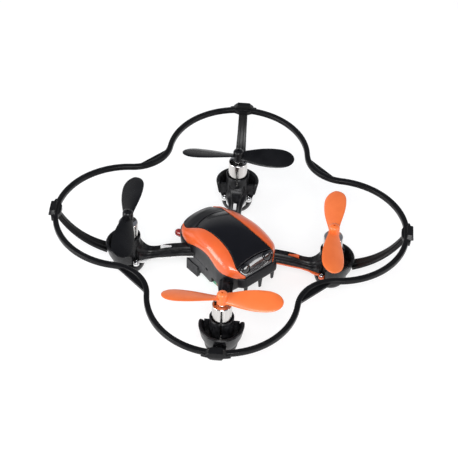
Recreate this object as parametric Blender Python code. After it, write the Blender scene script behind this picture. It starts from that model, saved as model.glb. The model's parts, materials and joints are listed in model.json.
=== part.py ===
"""Palm-sized quadcopter with a one-piece propeller guard, as separate solids in metres, +Z up.

The nose points along -Y. The origin is on the ground under the middle of the four motors. Lengths in
the constants and profiles below are millimetres; every mesh is scaled to metres as it is made.
"""
import math

import bpy
import bmesh
import numpy as np
from mathutils import Matrix, Vector

MM = 0.001
GAP = 0.3                      # clearance kept between pieces that rest on each other

# Layout
MOTOR_REACH = 37.0             # from the middle of the craft to each motor's axis
ARM_ANGLES = {"front_left": -45.0, "front_right": -135.0, "rear_left": 45.0, "rear_right": 135.0}

# Motor: a 7 mm coreless can motor
CAN_RADIUS = 3.5
CAN_WALL = 0.4
CAN_BOTTOM = 3.0
CAN_TOP = 22.6
SHAFT_RADIUS = 0.4
SHAFT_TOP = 27.2
COIL_RADIUS = 2.6
COIL_BOTTOM = 6.0
COIL_TOP = 20.4
CAP_THICKNESS = 1.4

# Propeller: two blades, 42 mm across
PROP_RADIUS = 21.0
HUB_RADIUS = 1.95
HUB_BOTTOM = 23.2
HUB_SHOULDER = 26.9
HUB_TOP = 28.2
BLADE_LEVEL = 25.2
BLADE_THICKNESS = 0.7
ROOT_PITCH = 26.0              # degrees at the hub
PITCH_FALL = 12.0              # degrees lost from hub to tip

# Motor pod
SLEEVE_RADIUS = 4.35
SLEEVE_TOP = 16.4
POD_FLOOR_TOP = 2.7
SLIT_BOTTOM = 9.5
SLIT_HALF_WIDTH = 0.35
SHIELD_RADIUS = 8.05
SHIELD_FOOT_RADIUS = 5.95
SHIELD_FOOT = 4.2
SHIELD_TOP = 13.0
SHIELD_DIP = 1.2               # how much lower its rim is on the outer side
SHIELD_WALL = 1.3
SHIELD_END_ANGLE = 105.0       # half the angle that the shield wraps round the motor
FLAP_BOTTOM = 7.5              # underside of the shield's ends, over the cover's screws
FLAP_WALL = 0.9
CUP_FLOOR = 0.7                # thickness of the floor between the sleeve and the shield

# Arms and the covers under them. Distances along an arm are from the middle of the craft.
ARM_TONGUE = ((12.6, -1.2, 10.7), (17.2, 1.2, 12.0))     # box that fits in the hull's socket: two corners
WINDOW_REACH = 23.3
WINDOW_HALF_LENGTH = 2.35
WINDOW_HALF_WIDTH = 0.9
BLOCK_TOP = 11.6               # block of the cover that shows in the window
COVER_THICKNESS = 0.7
COVER_HALF_WIDTH = 2.5
COVER_FLARE = 1.3              # extra half width beside the motor
COVER_SEAT = 6.55              # top of the cover beside the motor
EAR_PLACE = (-3.2, 4.6)        # screw ears, from the motor's axis: outwards and across
EAR_RADIUS = 1.15
EAR_HOLE_RADIUS = 0.62
NOOK_RADIUS = 1.15             # room for a screw's head beside the pod

# Propeller guard
RING_LEVEL = 26.1
RING_WIDTH = 2.0
RING_HEIGHT = 1.9
LOBE_RADIUS = 25.8             # centre line, about each motor's axis
WAIST = 42.2                   # centre line, from the middle of the craft to the concave stretch
WEB_EDGE = 45.1                # straight outer edge of the stiffening web
WEB_HALF_LENGTH = 7.2
WEB_THICKNESS = 0.9
SPOKE_START = 44.65            # spoke's inner end, from the middle of the craft
SPOKE_HALF_WIDTH = 1.65
SPOKE_TONGUE = ((SPOKE_START - 2.0, -1.3, 8.7), (SPOKE_START + 0.8, 1.3, 9.7))   # box that fits in the pod
TAB_REACH = 1.3                # how far the guard's tabs stand out beyond the ring
TAB_TOP = 28.1

# Hull
SHELL_WALL = 1.0
PANEL_THICKNESS = 0.85
BOW_WIDTH = 11.0               # half width over which the hull's cross lines are bowed
BELLY_INSET = 1.6              # how far the sides draw in from rim to belly
NOSE_STATION = -15.7
TAIL_STATION = 16.8
SCREEN_START_STATION = -15.9
SCREEN_END_STATION = -13.6     # seam between the windscreen and the top panel
REAR_SEAM_STATION = 9.2        # seam between the top panel and the rear panel
TRIM_START_STATION = -15.9
TRIM_END_STATION = 16.1
SEAM = 0.35                    # open width of the seams between outer panels
REAR_END_STATION = 16.4
NARROWEST_TRIM = 0.25          # width of the side panels' pointed ends
FLOOR_UNDER = 7.3              # underside of the hull's floor, over the battery
FLOOR_OVER = 8.3
BOARD_BOTTOM = FLOOR_OVER + GAP

# Battery
BATTERY_HALF_WIDTH = 8.7
BATTERY_FRONT = -4.8
BATTERY_REAR = 13.0
BATTERY_BOTTOM = 0.8
BATTERY_TOP = 6.9
BAY_HALF_WIDTH = BATTERY_HALF_WIDTH + GAP
SKID_THICKNESS = 1.3
SKID_SPAN = (6.0, 12.2)        # along the hull
STRAP_SPAN = (6.6, 11.8)       # band under the battery that joins the skids

# Nose and tail details
BUMPER_REACH = 8.7             # from the middle to each end of the bumper, across the hull
PEG_SPACING = 6.3
PEG_TIP_LEVEL = 6.5
LENS_CENTRE = (5.1, -14.3)
LENS_HALF_DEPTH = 0.95
LENS_HALF_WIDTH = 1.75
LAMP_RADIUS = 1.5
LAMP_CENTRE = (8.0, 18.4, 11.6)
LAMP_TURN = 20.0               # degrees outwards from straight back
SIDE_HOLE = (0.5, 8.5)         # screw hole in each side of the hull: (y, z)
SIDE_HOLE_RADIUS = 0.7

# Profiles of the hull along its length, as (y, value)
HALF_WIDTH = [(-18, 4.6), (-16, 6.5), (-15.1, 7.7), (-14.1, 8.9), (-13, 10.2), (-11.5, 11.3), (-9, 11.95),
              (-7, 12.1), (-4, 11.85), (-1, 11.5), (3, 11.2), (9, 11.0), (12.8, 10.6), (15, 10.1), (16.4, 9.3),
              (17.5, 7.9), (18.3, 7.1), (20, 6.9)]
EDGE_LEVEL = [(-18, 14.3), (-16, 14.5), (-14.1, 14.7), (-12.5, 15.6), (-9, 15.8), (-7, 16.25), (-5, 17.0),
              (-3, 17.75), (0, 18.15), (3, 17.8), (7, 16.65), (9, 15.8), (11, 14.95), (12.8, 14.95), (15, 15.6),
              (17.7, 16.4), (20, 15.9)]
TRIM_EDGE = [(-18, 4.2), (-16, 6.1), (-15.1, 7.25), (-14.1, 8.05), (-13, 8.18), (-11, 7.62), (-9, 7.04),
             (-7, 6.58), (-4, 6.22), (1, 5.96), (5, 6.02), (7, 6.2), (9, 6.56), (11, 7.15), (13, 7.8),
             (14.3, 8.3), (16, 7.9), (17.7, 7.0), (20, 6.4)]
TRIM_LEVEL = [(-18, 12.6), (-16, 14.9), (-15.1, 16.1), (-14.1, 17.2), (-13, 17.8), (-11, 19.0), (-9, 20.0),
              (-7, 20.75), (-4, 21.4), (1, 21.8), (5, 21.45), (7, 21.05), (9, 20.4), (11, 19.4), (13, 18.25),
              (14.3, 17.6), (17.7, 16.5), (20, 16.0)]
MID_LEVEL = [(-18, 12.4), (-15.9, 14.8), (-14.4, 16.9), (-12.8, 18.5), (-10.8, 19.9), (-8, 21.2), (-4, 22.15),
             (0, 22.5), (5, 22.1), (9, 21.15), (12.5, 19.9), (15, 19.2), (16.8, 18.6), (18.4, 17.5), (20, 16.2)]
BELLY_LEVEL = [(-18, 10.8), (-15.7, 10.0), (-13.5, 7.5), (-11, 4.6), (-8, 2.2), (-5.5, 1.5), (0, 2.3), (4, 2.6),
               (12, 3.0), (15, 4.7), (18, 7.6), (20, 9.6)]
BOW = [(-17, -0.5), (-15.9, 0.0), (-13.5, 0.9), (-9, 1.3), (-4, 0.4), (0, 0.0), (4, 0.8), (9.2, 3.3),
       (17, 3.3)]
BULGE = [(-18, 0.0), (10, 0.0), (12, 0.1), (14, 0.5), (16.4, 0.95), (18.5, 1.0), (20, 1.0)]

# Outlines in the plane of the hull's length and height, as (y, z)
SIDE_NOTCH = [(-5.1, -1.0), (-5.1, 5.0), (-1.4, 4.5), (0.3, 1.5), (1.6, -1.0)]

# The bumper's section, as (distance out from the hull, height)
BUMPER_SECTION = [(0.0, 14.1), (0.35, 14.1), (0.75, 13.4), (1.15, 12.0), (1.3, 11.0), (1.15, 10.35), (0.6, 10.2),
                  (0.0, 10.2)]

COLOURS = {
    "gloss_black": ((0.012, 0.012, 0.014), 0.12, 0.0),
    "satin_black": ((0.014, 0.014, 0.016), 0.38, 0.0),
    "dark_grey": ((0.055, 0.056, 0.062), 0.42, 0.0),
    "orange": ((0.85, 0.18, 0.03), 0.25, 0.0),
    "white": ((0.86, 0.86, 0.85), 0.35, 0.0),
    "smoked_screen": ((0.09, 0.09, 0.095), 0.15, 0.0),
    "clear_lens": ((0.75, 0.77, 0.8), 0.08, 0.0),
    "red_lens": ((0.45, 0.02, 0.02), 0.12, 0.0),
    "motor_steel": ((0.72, 0.7, 0.68), 0.16, 1.0),
    "copper": ((0.6, 0.28, 0.12), 0.35, 1.0),
    "screw_steel": ((0.09, 0.09, 0.1), 0.35, 1.0),
    "board_green": ((0.02, 0.17, 0.07), 0.4, 0.0),
    "battery_green": ((0.0, 0.36, 0.17), 0.35, 0.0),
}


# ---------------------------------------------------------------- helpers

def clear_scene():
    for obj in list(bpy.data.objects):
        bpy.data.objects.remove(obj, do_unlink=True)


def make_material(name):
    colour, roughness, metallic = COLOURS[name]
    material = bpy.data.materials.new(name)
    material.use_nodes = True
    shader = material.node_tree.nodes["Principled BSDF"]
    shader.inputs["Base Color"].default_value = (*colour, 1.0)
    shader.inputs["Roughness"].default_value = roughness
    shader.inputs["Metallic"].default_value = metallic
    return material


def material_named(name):
    return bpy.data.materials.get(name) or make_material(name)


def is_flat(face):
    corners = [vert.co for vert in face.verts]
    return all(abs((corner - corners[0]).dot(face.normal)) < 1e-7 for corner in corners)


def new_object(name, verts, faces, material):
    """A mesh object from points in millimetres, with its normals turned outwards."""
    mesh = bpy.data.meshes.new(name)
    mesh.from_pydata([Vector(v) * MM for v in verts], [], faces)
    shape = bmesh.new()
    shape.from_mesh(mesh)
    bmesh.ops.remove_doubles(shape, verts=shape.verts, dist=1e-7)
    bent = [face for face in shape.faces if len(face.verts) > 3 and not is_flat(face)]
    bmesh.ops.triangulate(shape, faces=bent)
    bmesh.ops.recalc_face_normals(shape, faces=shape.faces)
    shape.to_mesh(mesh)
    shape.free()
    mesh.materials.append(material_named(material))
    obj = bpy.data.objects.new(name, mesh)
    bpy.context.scene.collection.objects.link(obj)
    return obj


def combine(target, tool, operation):
    """Adds tool to target ("UNION") or cuts it away ("DIFFERENCE"), and removes tool."""
    modifier = target.modifiers.new(operation.lower(), "BOOLEAN")
    modifier.operation = operation
    modifier.solver = "EXACT"
    modifier.object = tool
    bpy.context.view_layer.update()
    graph = bpy.context.evaluated_depsgraph_get()
    mesh = bpy.data.meshes.new_from_object(target.evaluated_get(graph))
    target.modifiers.clear()
    old = target.data
    mesh.name = old.name
    material = old.materials[0]
    target.data = mesh
    bpy.data.meshes.remove(old)
    bpy.data.objects.remove(tool, do_unlink=True)
    mesh.materials.clear()
    mesh.materials.append(material)
    for face in mesh.polygons:
        face.material_index = 0


def add(target, tool):
    combine(target, tool, "UNION")


def cut(target, tool):
    combine(target, tool, "DIFFERENCE")


def smooth(obj, angle=35.0):
    obj.data.shade_smooth()
    obj.data.set_sharp_from_angle(angle=math.radians(angle))


def loft(name, sections, material):
    """Joins equal closed loops of points one after another, and closes both ends."""
    count = len(sections[0])
    verts = [point for section in sections for point in section]
    faces = []
    for k in range(len(sections) - 1):
        for i in range(count):
            j = (i + 1) % count
            faces.append((k * count + i, k * count + j, (k + 1) * count + j, (k + 1) * count + i))
    faces.append(tuple(range(count)))
    faces.append(tuple((len(sections) - 1) * count + i for i in range(count)))
    return new_object(name, verts, faces, material)


def sweep_loop(name, sections, material):
    """Like loft, but the last loop joins the first one again."""
    count = len(sections[0])
    total = len(sections)
    verts = [point for section in sections for point in section]
    faces = []
    for k in range(total):
        n = (k + 1) % total
        for i in range(count):
            j = (i + 1) % count
            faces.append((k * count + i, k * count + j, n * count + j, n * count + i))
    return new_object(name, verts, faces, material)


def turned(name, profile, material, segments=24, closed_profile=False):
    """Turns a profile of (radius, height) about Z. An open profile starts and ends on the axis."""
    verts = []
    rings = []
    for radius, height in profile:
        if radius == 0:
            rings.append([len(verts)])
            verts.append((0, 0, height))
            continue
        ring = []
        for k in range(segments):
            angle = 2 * math.pi * k / segments
            ring.append(len(verts))
            verts.append((radius * math.cos(angle), radius * math.sin(angle), height))
        rings.append(ring)
    pairs = list(zip(rings[:-1], rings[1:]))
    if closed_profile:
        pairs.append((rings[-1], rings[0]))
    faces = []
    for first, second in pairs:
        for k in range(segments):
            n = (k + 1) % segments
            corners = [first[k % len(first)], first[n % len(first)]]
            corners += [second[n % len(second)], second[k % len(second)]]
            faces.append(tuple(dict.fromkeys(corners)))
    return new_object(name, verts, faces, material)


def box(name, low, high, material="satin_black"):
    corners = [(x, y, z) for z in (low[2], high[2]) for x, y in
               ((low[0], low[1]), (high[0], low[1]), (high[0], high[1]), (low[0], high[1]))]
    return loft(name, [corners[:4], corners[4:]], material)


def prism(name, outline, bottom, top, material="satin_black"):
    """Extrudes a plan outline of (x, y) points between two heights."""
    return loft(name, [[(x, y, z) for x, y in outline] for z in (bottom, top)], material)


def circle(radius, count=24, centre=(0.0, 0.0)):
    return oval(radius, radius, centre, count)


def oval(half_width, half_depth, centre, count=24):
    angles = [2 * math.pi * k / count for k in range(count)]
    return [(centre[0] + half_width * math.cos(a), centre[1] + half_depth * math.sin(a)) for a in angles]


def cross_prism(name, outline, reach, material="dark_grey"):
    """Extrudes an outline of (y, z) points along X, from -reach to +reach."""
    return loft(name, [[(x, y, z) for y, z in outline] for x in (-reach, reach)], material)


def along(profile, station):
    """Smooth value of a profile at a station: a cubic through its points."""
    places = [p[0] for p in profile]
    values = [p[1] for p in profile]
    slopes = np.gradient(values, places)
    k = min(max(np.searchsorted(places, station) - 1, 0), len(places) - 2)
    width = places[k + 1] - places[k]
    t = min(max((station - places[k]) / width, 0.0), 1.0)
    return float(
        values[k] * (1 + 2 * t) * (1 - t) ** 2 + slopes[k] * width * t * (1 - t) ** 2
        + values[k + 1] * t * t * (3 - 2 * t) - slopes[k + 1] * width * t * t * (1 - t)
    )


def move_mesh(obj, matrix):
    obj.data.transform(matrix)


def motor_place(arm):
    """Turns a mesh made about the motor's axis, with +X outwards, to its place on the craft."""
    angle = math.radians(ARM_ANGLES[arm])
    reach = MOTOR_REACH * MM
    centre = Vector((reach * math.cos(angle), reach * math.sin(angle), 0))
    return Matrix.Translation(centre) @ Matrix.Rotation(angle, 4, "Z")


# ---------------------------------------------------------------- propeller guard

def waist_arc():
    """Radius of the guard's concave arcs, and half the angle that each spans."""
    side = MOTOR_REACH / math.sqrt(2)
    rise = WAIST - side
    radius = (rise ** 2 + side ** 2 - LOBE_RADIUS ** 2) / (2 * (LOBE_RADIUS - rise))
    return radius, math.atan2(side, rise + radius)


def ring_centre_line():
    """Points and outward normals along the guard: a lobe about each motor, joined by concave arcs."""
    side = MOTOR_REACH / math.sqrt(2)
    radius, span = waist_arc()
    points = []
    for k in range(7):
        angle = span * (2 * k / 7 - 1)
        c, s = math.cos(angle), math.sin(angle)
        points.append((WAIST + radius - radius * c, radius * s, c, -s))
    for k in range(18):
        angle = -span + (math.pi / 2 + 2 * span) * k / 18
        c, s = math.cos(angle), math.sin(angle)
        points.append((side + LOBE_RADIUS * c, side + LOBE_RADIUS * s, c, s))
    line = []
    for quarter in range(4):
        c, s = math.cos(quarter * math.pi / 2), math.sin(quarter * math.pi / 2)
        line += [(c * x - s * y, s * x + c * y, c * nx - s * ny, s * nx + c * ny) for x, y, nx, ny in points]
    return line


def make_guard_ring():
    half = RING_WIDTH / 2
    low = RING_LEVEL - RING_HEIGHT / 2
    high = RING_LEVEL + RING_HEIGHT / 2
    bevel = 0.35
    section = [(-half, low), (half, low), (half, high - bevel), (half - bevel, high),
               (bevel - half, high), (-half, high - bevel)]
    loops = []
    for x, y, nx, ny in ring_centre_line():
        loops.append([(x + nx * out, y + ny * out, z) for out, z in section])
    ring = sweep_loop("guard_ring", loops, "satin_black")
    for quarter in range(4):
        turn = Matrix.Rotation(quarter * math.pi / 2, 4, "Z")
        web = prism("web", web_outline(), low, low + WEB_THICKNESS)
        move_mesh(web, turn)
        add(ring, web)
        diagonal = turn @ Matrix.Rotation(math.pi / 4, 4, "Z")
        for piece in (make_tab(low, high), make_tab_plate(low, high), make_spoke()):
            move_mesh(piece, diagonal)
            add(ring, piece)
    smooth(ring, 40)
    return ring


def web_outline():
    """Straight outside, and along the ring's concave centre line inside."""
    radius, _ = waist_arc()
    reach = math.asin(WEB_HALF_LENGTH / radius)
    inner = []
    for k in range(9):
        angle = reach * (1 - 2 * k / 8)
        inner.append((WAIST + radius - radius * math.cos(angle), radius * math.sin(angle)))
    return [(WEB_EDGE, -WEB_HALF_LENGTH), (WEB_EDGE, WEB_HALF_LENGTH)] + inner


def make_tab(low, high):
    """Thick part of the ring where a spoke meets it, with fillets into the spoke."""
    edge = MOTOR_REACH + LOBE_RADIUS + RING_WIDTH / 2
    half = [(edge + 0.5, 3.1), (edge + 0.05, 5.0), (edge - 1.3, 5.0), (edge - 2.9, 1.5)]
    outline = [(x, -y) for x, y in half] + [(x, y) for x, y in reversed(half)]
    return prism("tab", outline, low + 0.1, high - 0.2)


def make_tab_plate(low, high):
    """Upright plate on a tab, narrower at its top and bottom."""
    edge = MOTOR_REACH + LOBE_RADIUS + RING_WIDTH / 2
    outside = edge + TAB_REACH
    sections = []
    for z, half, inner, outer in ((low - 0.2, 2.0, edge - 0.5, outside - 0.3), (low + 0.8, 2.8, edge - 1.3, outside),
                                  (high - 0.3, 3.75, edge - 1.3, outside), (TAB_TOP, 2.4, edge - 0.9, outside - 0.2)):
        sections.append([(outer, -half, z), (outer, half, z), (inner, half, z), (inner, -half, z)])
    return loft("tab_plate", sections, "satin_black")


def spoke_line():
    """Centre line of a spoke, a curve from the pod out and up to the ring: (distance from the middle, height)."""
    start = Vector((SPOKE_START, 9.2))
    bend = Vector((56.6, 12.9))
    end = Vector((MOTOR_REACH + LOBE_RADIUS - 0.3, RING_LEVEL - 0.6))
    points = []
    for k in range(9):
        t = k / 8
        points.append(tuple(start * (1 - t) ** 2 + bend * 2 * t * (1 - t) + end * t * t))
    return points


def make_spoke():
    line = spoke_line()
    sections = []
    for k, (reach, height) in enumerate(line):
        ahead = line[min(k + 1, len(line) - 1)]
        behind = line[max(k - 1, 0)]
        slope = math.atan2(ahead[1] - behind[1], ahead[0] - behind[0])
        half = SPOKE_HALF_WIDTH + 0.8 * (1 - k / (len(line) - 1)) ** 2
        profile = [(-half, -0.7), (half, -0.7), (half, 0.45), (0.6, 0.75), (-0.6, 0.75), (-half, 0.45)]
        sections.append([(reach - up * math.sin(slope), side, height + up * math.cos(slope))
                         for side, up in profile])
    spoke = loft("spoke", sections, "satin_black")
    add(spoke, box("tongue", *SPOKE_TONGUE))
    return spoke


# ---------------------------------------------------------------- arms, pods and their covers

def arm_sections():
    """Arm beam from hull to pod: (distance from the middle, base half width, bottom, ledge, rail half width, top)."""
    return [
        (8.0, 2.5, 10.2, 12.1, 1.45, 13.6),
        (18.2, 2.5, 9.4, 11.2, 1.45, 12.8),
        (23.2, 2.5, 8.4, 10.2, 1.45, 11.8),
        (27.0, 2.6, 7.7, 9.2, 1.5, 10.4),
        (30.0, 3.0, 7.2, 8.8, 1.8, 10.2),
        (32.2, 3.8, 7.0, 9.6, 2.4, 11.6),
        (33.6, 4.2, 6.9, 11.2, 3.0, 13.4),
    ]


def arm_height(reach, column):
    table = [(row[0], row[column]) for row in arm_sections()]
    return along(table, reach)


def grown(corners, gap):
    """A box's two corners, moved apart by a gap on every side."""
    low, high = corners
    return tuple(value - gap for value in low), tuple(value + gap for value in high)


def arm_turn(arm):
    return Matrix.Rotation(math.radians(ARM_ANGLES[arm]), 4, "Z")


def make_arm(arm):
    sections = []
    for reach, base, bottom, ledge, rail, top in arm_sections():
        x = reach - MOTOR_REACH
        sections.append([(x, -base, bottom), (x, base, bottom), (x, base, ledge - 0.3), (x, rail, ledge),
                         (x, rail, top - 0.25), (x, rail - 0.3, top), (x, 0.3 - rail, top),
                         (x, -rail, top - 0.25), (x, -rail, ledge), (x, -base, ledge - 0.3)])
    piece = loft("arm_" + arm, sections, "satin_black")
    add(piece, turned("bowl", [(0, 0.0), (2.9, 0.0), (4.1, 0.5), (5.0, 1.6), (5.7, 3.4), (5.9, 4.6), (0, 4.6)],
                      "satin_black"))
    add(piece, turned("sleeve", [(0, 4.0), (SLEEVE_RADIUS, 4.0), (SLEEVE_RADIUS, SLEEVE_TOP - 0.2),
                                 (SLEEVE_RADIUS - 0.2, SLEEVE_TOP), (0, SLEEVE_TOP)], "satin_black"))
    add(piece, make_shield())
    over = SLEEVE_TOP + 1.0
    bore = CAN_RADIUS + GAP
    cut(piece, turned("bore", [(0, POD_FLOOR_TOP), (bore, POD_FLOOR_TOP), (bore, over), (0, over)],
                      "satin_black"))
    slit_reach = SLEEVE_RADIUS + 0.6
    cut(piece, box("outer_slit", (2.5, -SLIT_HALF_WIDTH, SLIT_BOTTOM), (slit_reach, SLIT_HALF_WIDTH, over)))
    cut(piece, box("inner_slit", (-slit_reach, -SLIT_HALF_WIDTH, SHIELD_TOP + 0.7), (-2.5, SLIT_HALF_WIDTH, over)))
    for side in (-1, 1):
        nook = circle(NOOK_RADIUS, 14, (EAR_PLACE[0], side * EAR_PLACE[1]))
        cut(piece, prism("screw_nook", nook, COVER_SEAT + GAP, 15.0))
    pocket = grown(SPOKE_TONGUE, GAP)
    cut(piece, box("spoke_pocket", (pocket[0][0] - MOTOR_REACH, *pocket[0][1:]), (8.8, *pocket[1][1:])))
    middle = WINDOW_REACH - MOTOR_REACH
    cut(piece, box("window", (middle - WINDOW_HALF_LENGTH, -WINDOW_HALF_WIDTH, 5.0),
                   (middle + WINDOW_HALF_LENGTH, WINDOW_HALF_WIDTH, 15.0)))
    move_mesh(piece, motor_place(arm))
    cut(piece, hull_solid("hull_clearance", GAP, 3.0))
    tongue = box("tongue", *ARM_TONGUE)
    move_mesh(tongue, arm_turn(arm))
    add(piece, tongue)
    smooth(piece)


def make_shield():
    """Flared wall round the outer half of the pod, its rounded ends joined to the motor's sleeve."""
    steps = 18
    sections = []
    for k in range(steps + 1):
        fraction = -1 + 2 * k / steps
        angle = math.radians(SHIELD_END_ANGLE) * fraction
        c, s = math.cos(angle), math.sin(angle)
        corner = max(0.0, abs(fraction) - 0.86) / 0.14
        top = SHIELD_TOP - SHIELD_DIP * max(0.0, c) - 0.7 * corner ** 2
        height = top - SHIELD_FOOT
        spread = (SHIELD_RADIUS - SHIELD_FOOT_RADIUS) * height / (SHIELD_TOP - SHIELD_FOOT)
        outer = SHIELD_FOOT_RADIUS + spread
        middle = SHIELD_FOOT_RADIUS + 0.62 * spread
        waist = SHIELD_FOOT + 0.5 * height
        profile = [(outer, top), (outer - SHIELD_WALL, top), (middle - SHIELD_WALL, waist),
                   (4.5, 3.4), (5.55, 3.4), (middle + 0.1, waist)]
        sections.append([(r * c, r * s, z) for r, z in profile])
    shield = loft("shield", sections, "satin_black")
    end_x = SHIELD_RADIUS * math.cos(math.radians(SHIELD_END_ANGLE))
    for side in (-1, 1):
        near_y, far_y = sorted((side * (SLEEVE_RADIUS - 0.8), side * 6.2))
        add(shield, box("flap", (end_x + 0.08, near_y, FLAP_BOTTOM), (end_x + FLAP_WALL, far_y, SHIELD_TOP - 0.6)))
    inside = SLEEVE_RADIUS - 0.3
    floor_top = FLAP_BOTTOM + CUP_FLOOR
    floor = turned("cup_floor", [(inside, FLAP_BOTTOM - 0.05), (6.1, FLAP_BOTTOM - 0.05), (6.1, floor_top),
                                 (inside, floor_top)], "satin_black", 24, True)
    cut(floor, box("floor_cutter", (-9.0, -9.0, 0.0), (end_x + 0.4, 9.0, 15.0)))
    add(shield, floor)
    cut(shield, box("flap_clearance", (-9.0, -9.0, 0.0), (-0.2, 9.0, FLAP_BOTTOM)))
    return shield


def make_arm_cover(arm, colour):
    """Strip under the arm with a raised window block and two screw ears beside the motor sleeve."""
    sections = []
    for reach in (8.0, 13.0, 18.2, 23.2, 27.0, 30.0, 32.0, 34.5):
        flare = min(max((reach - 29.0) / 3.0, 0.0), 1.0)
        half = COVER_HALF_WIDTH + COVER_FLARE * flare
        top = arm_height(reach, 2) - GAP if reach < 29.0 else COVER_SEAT
        low = top - COVER_THICKNESS
        x = reach - MOTOR_REACH
        sections.append([(x, -half, low), (x, half, low), (x, half, top), (x, -half, top)])
    cover = loft("arm_cover_" + arm, sections, colour)
    ears = [(EAR_PLACE[0], side * EAR_PLACE[1]) for side in (-1, 1)]
    for place in ears:
        add(cover, prism("ear", circle(EAR_RADIUS, 16, place), COVER_SEAT - COVER_THICKNESS, COVER_SEAT, colour))
    cut(cover, prism("sleeve_clearance", circle(SLEEVE_RADIUS + GAP), 0, 12))
    for place in ears:
        cut(cover, prism("hole", circle(EAR_HOLE_RADIUS, 12, place), 0, 12))
    middle = WINDOW_REACH - MOTOR_REACH
    add(cover, box("window_block", (middle - WINDOW_HALF_LENGTH + 0.35, GAP - WINDOW_HALF_WIDTH, 7.6),
                   (middle + WINDOW_HALF_LENGTH - 0.35, WINDOW_HALF_WIDTH - GAP, BLOCK_TOP)))
    move_mesh(cover, motor_place(arm))
    cut(cover, hull_solid("hull_clearance", GAP, 3.0))
    smooth(cover)


def make_cover_screw(name, arm, side):
    """Small screw in an ear of the arm cover, its head on top."""
    seat = COVER_SEAT + GAP
    profile = [(0, 5.2), (0.3, 5.2), (0.3, seat), (0.85, seat), (0.85, seat + 0.25), (0.5, seat + 0.5),
               (0, seat + 0.5)]
    screw = turned(name, profile, "screw_steel", 10)
    place = Vector((EAR_PLACE[0], side * EAR_PLACE[1], 0)) * MM
    move_mesh(screw, motor_place(arm) @ Matrix.Translation(place))
    smooth(screw)


# ---------------------------------------------------------------- motors and propellers

def make_motor(arm):
    place = motor_place(arm)
    inner = CAN_RADIUS - CAN_WALL
    bore = SHAFT_RADIUS + GAP
    can = turned("motor_can_" + arm, [
        (CAN_RADIUS, CAN_BOTTOM), (CAN_RADIUS, CAN_TOP - 0.35), (CAN_RADIUS - 0.35, CAN_TOP),
        (1.5, CAN_TOP), (1.3, CAN_TOP + 0.25), (bore, CAN_TOP + 0.25), (bore, CAN_TOP - 0.7),
        (inner, CAN_TOP - 0.7), (inner, CAN_BOTTOM)], "motor_steel", 24, True)
    cap = turned("motor_end_cap_" + arm, [
        (inner - GAP, CAN_BOTTOM), (inner - GAP, CAN_BOTTOM + CAP_THICKNESS),
        (bore, CAN_BOTTOM + CAP_THICKNESS), (bore, CAN_BOTTOM)], "white", 16, True)
    rotor = turned("motor_rotor_" + arm, [
        (0, 3.4), (SHAFT_RADIUS, 3.4), (SHAFT_RADIUS, COIL_BOTTOM), (COIL_RADIUS, COIL_BOTTOM),
        (COIL_RADIUS, COIL_TOP), (SHAFT_RADIUS, COIL_TOP), (SHAFT_RADIUS, SHAFT_TOP), (0, SHAFT_TOP)],
        "copper", 16)
    for piece in (can, cap, rotor):
        move_mesh(piece, place)
        smooth(piece)


def blade_half_chord(t):
    """Half the blade's width at a fraction t of its length: narrow root, broad paddle, round tip."""
    paddle = 2.1 + 2.05 * math.sin(min(t / 0.62, 1.0) * math.pi / 2) ** 1.2
    if t > 0.66:
        paddle *= math.sqrt(max(0.0, 1 - ((t - 0.66) / 0.34) ** 2.4))
    return max(paddle, 0.35)


def make_propeller(arm, colour, spin):
    """Two pitched blades on a hub. spin is +1 where the propeller turns anticlockwise seen from above."""
    bore = SHAFT_RADIUS + GAP
    hub = turned("propeller_" + arm, [
        (HUB_RADIUS - 0.15, HUB_BOTTOM), (HUB_RADIUS, HUB_BOTTOM + 0.2), (HUB_RADIUS, HUB_SHOULDER),
        (HUB_RADIUS * 0.8, HUB_SHOULDER + 0.75), (1.0, HUB_TOP - 0.12), (0.45, HUB_TOP), (0.45, SHAFT_TOP + GAP),
        (bore, SHAFT_TOP + GAP), (bore, HUB_BOTTOM)], colour, 16, True)
    root = 1.3
    for turn in (0.0, math.pi):
        sections = []
        for k in range(11):
            t = k / 10
            reach = root + (PROP_RADIUS - root) * (1 - (1 - t) ** 1.35)
            fraction = (reach - root) / (PROP_RADIUS - root)
            half = blade_half_chord(fraction)
            pitch = math.radians(ROOT_PITCH - PITCH_FALL * fraction) * spin
            thick = BLADE_THICKNESS * (1 - 0.35 * fraction) / 2
            camber = 0.32 * half / 3.8
            profile = [(-half, 0.0), (-half * 0.55, camber * 0.8 - thick), (0.0, camber - thick),
                       (half * 0.6, camber * 0.7 - thick), (half, 0.0), (half * 0.6, camber * 0.7 + thick),
                       (0.0, camber + thick), (-half * 0.55, camber * 0.8 + thick)]
            sections.append([(reach, across * math.cos(pitch) - up * math.sin(pitch),
                              BLADE_LEVEL + across * math.sin(pitch) + up * math.cos(pitch))
                             for across, up in profile])
        blade = loft("blade", sections, colour)
        move_mesh(blade, Matrix.Rotation(turn, 4, "Z"))
        add(hub, blade)
    quarter_turn = Matrix.Rotation(math.pi / 2, 4, "Z")
    place = motor_place(arm) @ quarter_turn
    hub.matrix_world = place
    smooth(hub, 40)
    return hub


# ---------------------------------------------------------------- hull

def bowed(station, across):
    """y of a cross line of the hull: bent towards the nose or the tail in its middle."""
    return station + along(BOW, station) * (1 - (across / BOW_WIDTH) ** 2)


def canopy_height(across, y):
    """Height of the canopy's outer surface."""
    width = along(HALF_WIDTH, y)
    inner = min(along(TRIM_EDGE, y), width - 0.2)
    side = min(abs(across), width)
    inner_level = along(TRIM_LEVEL, y)
    if side <= inner:
        middle_level = along(MID_LEVEL, y)
        return middle_level + (inner_level - middle_level) * (side / inner) ** 2
    share = (side - inner) / (width - inner)
    edge_level = along(EDGE_LEVEL, y)
    return edge_level + (inner_level - edge_level) * (1 - share ** 1.9) ** (1 / 1.9)


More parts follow.
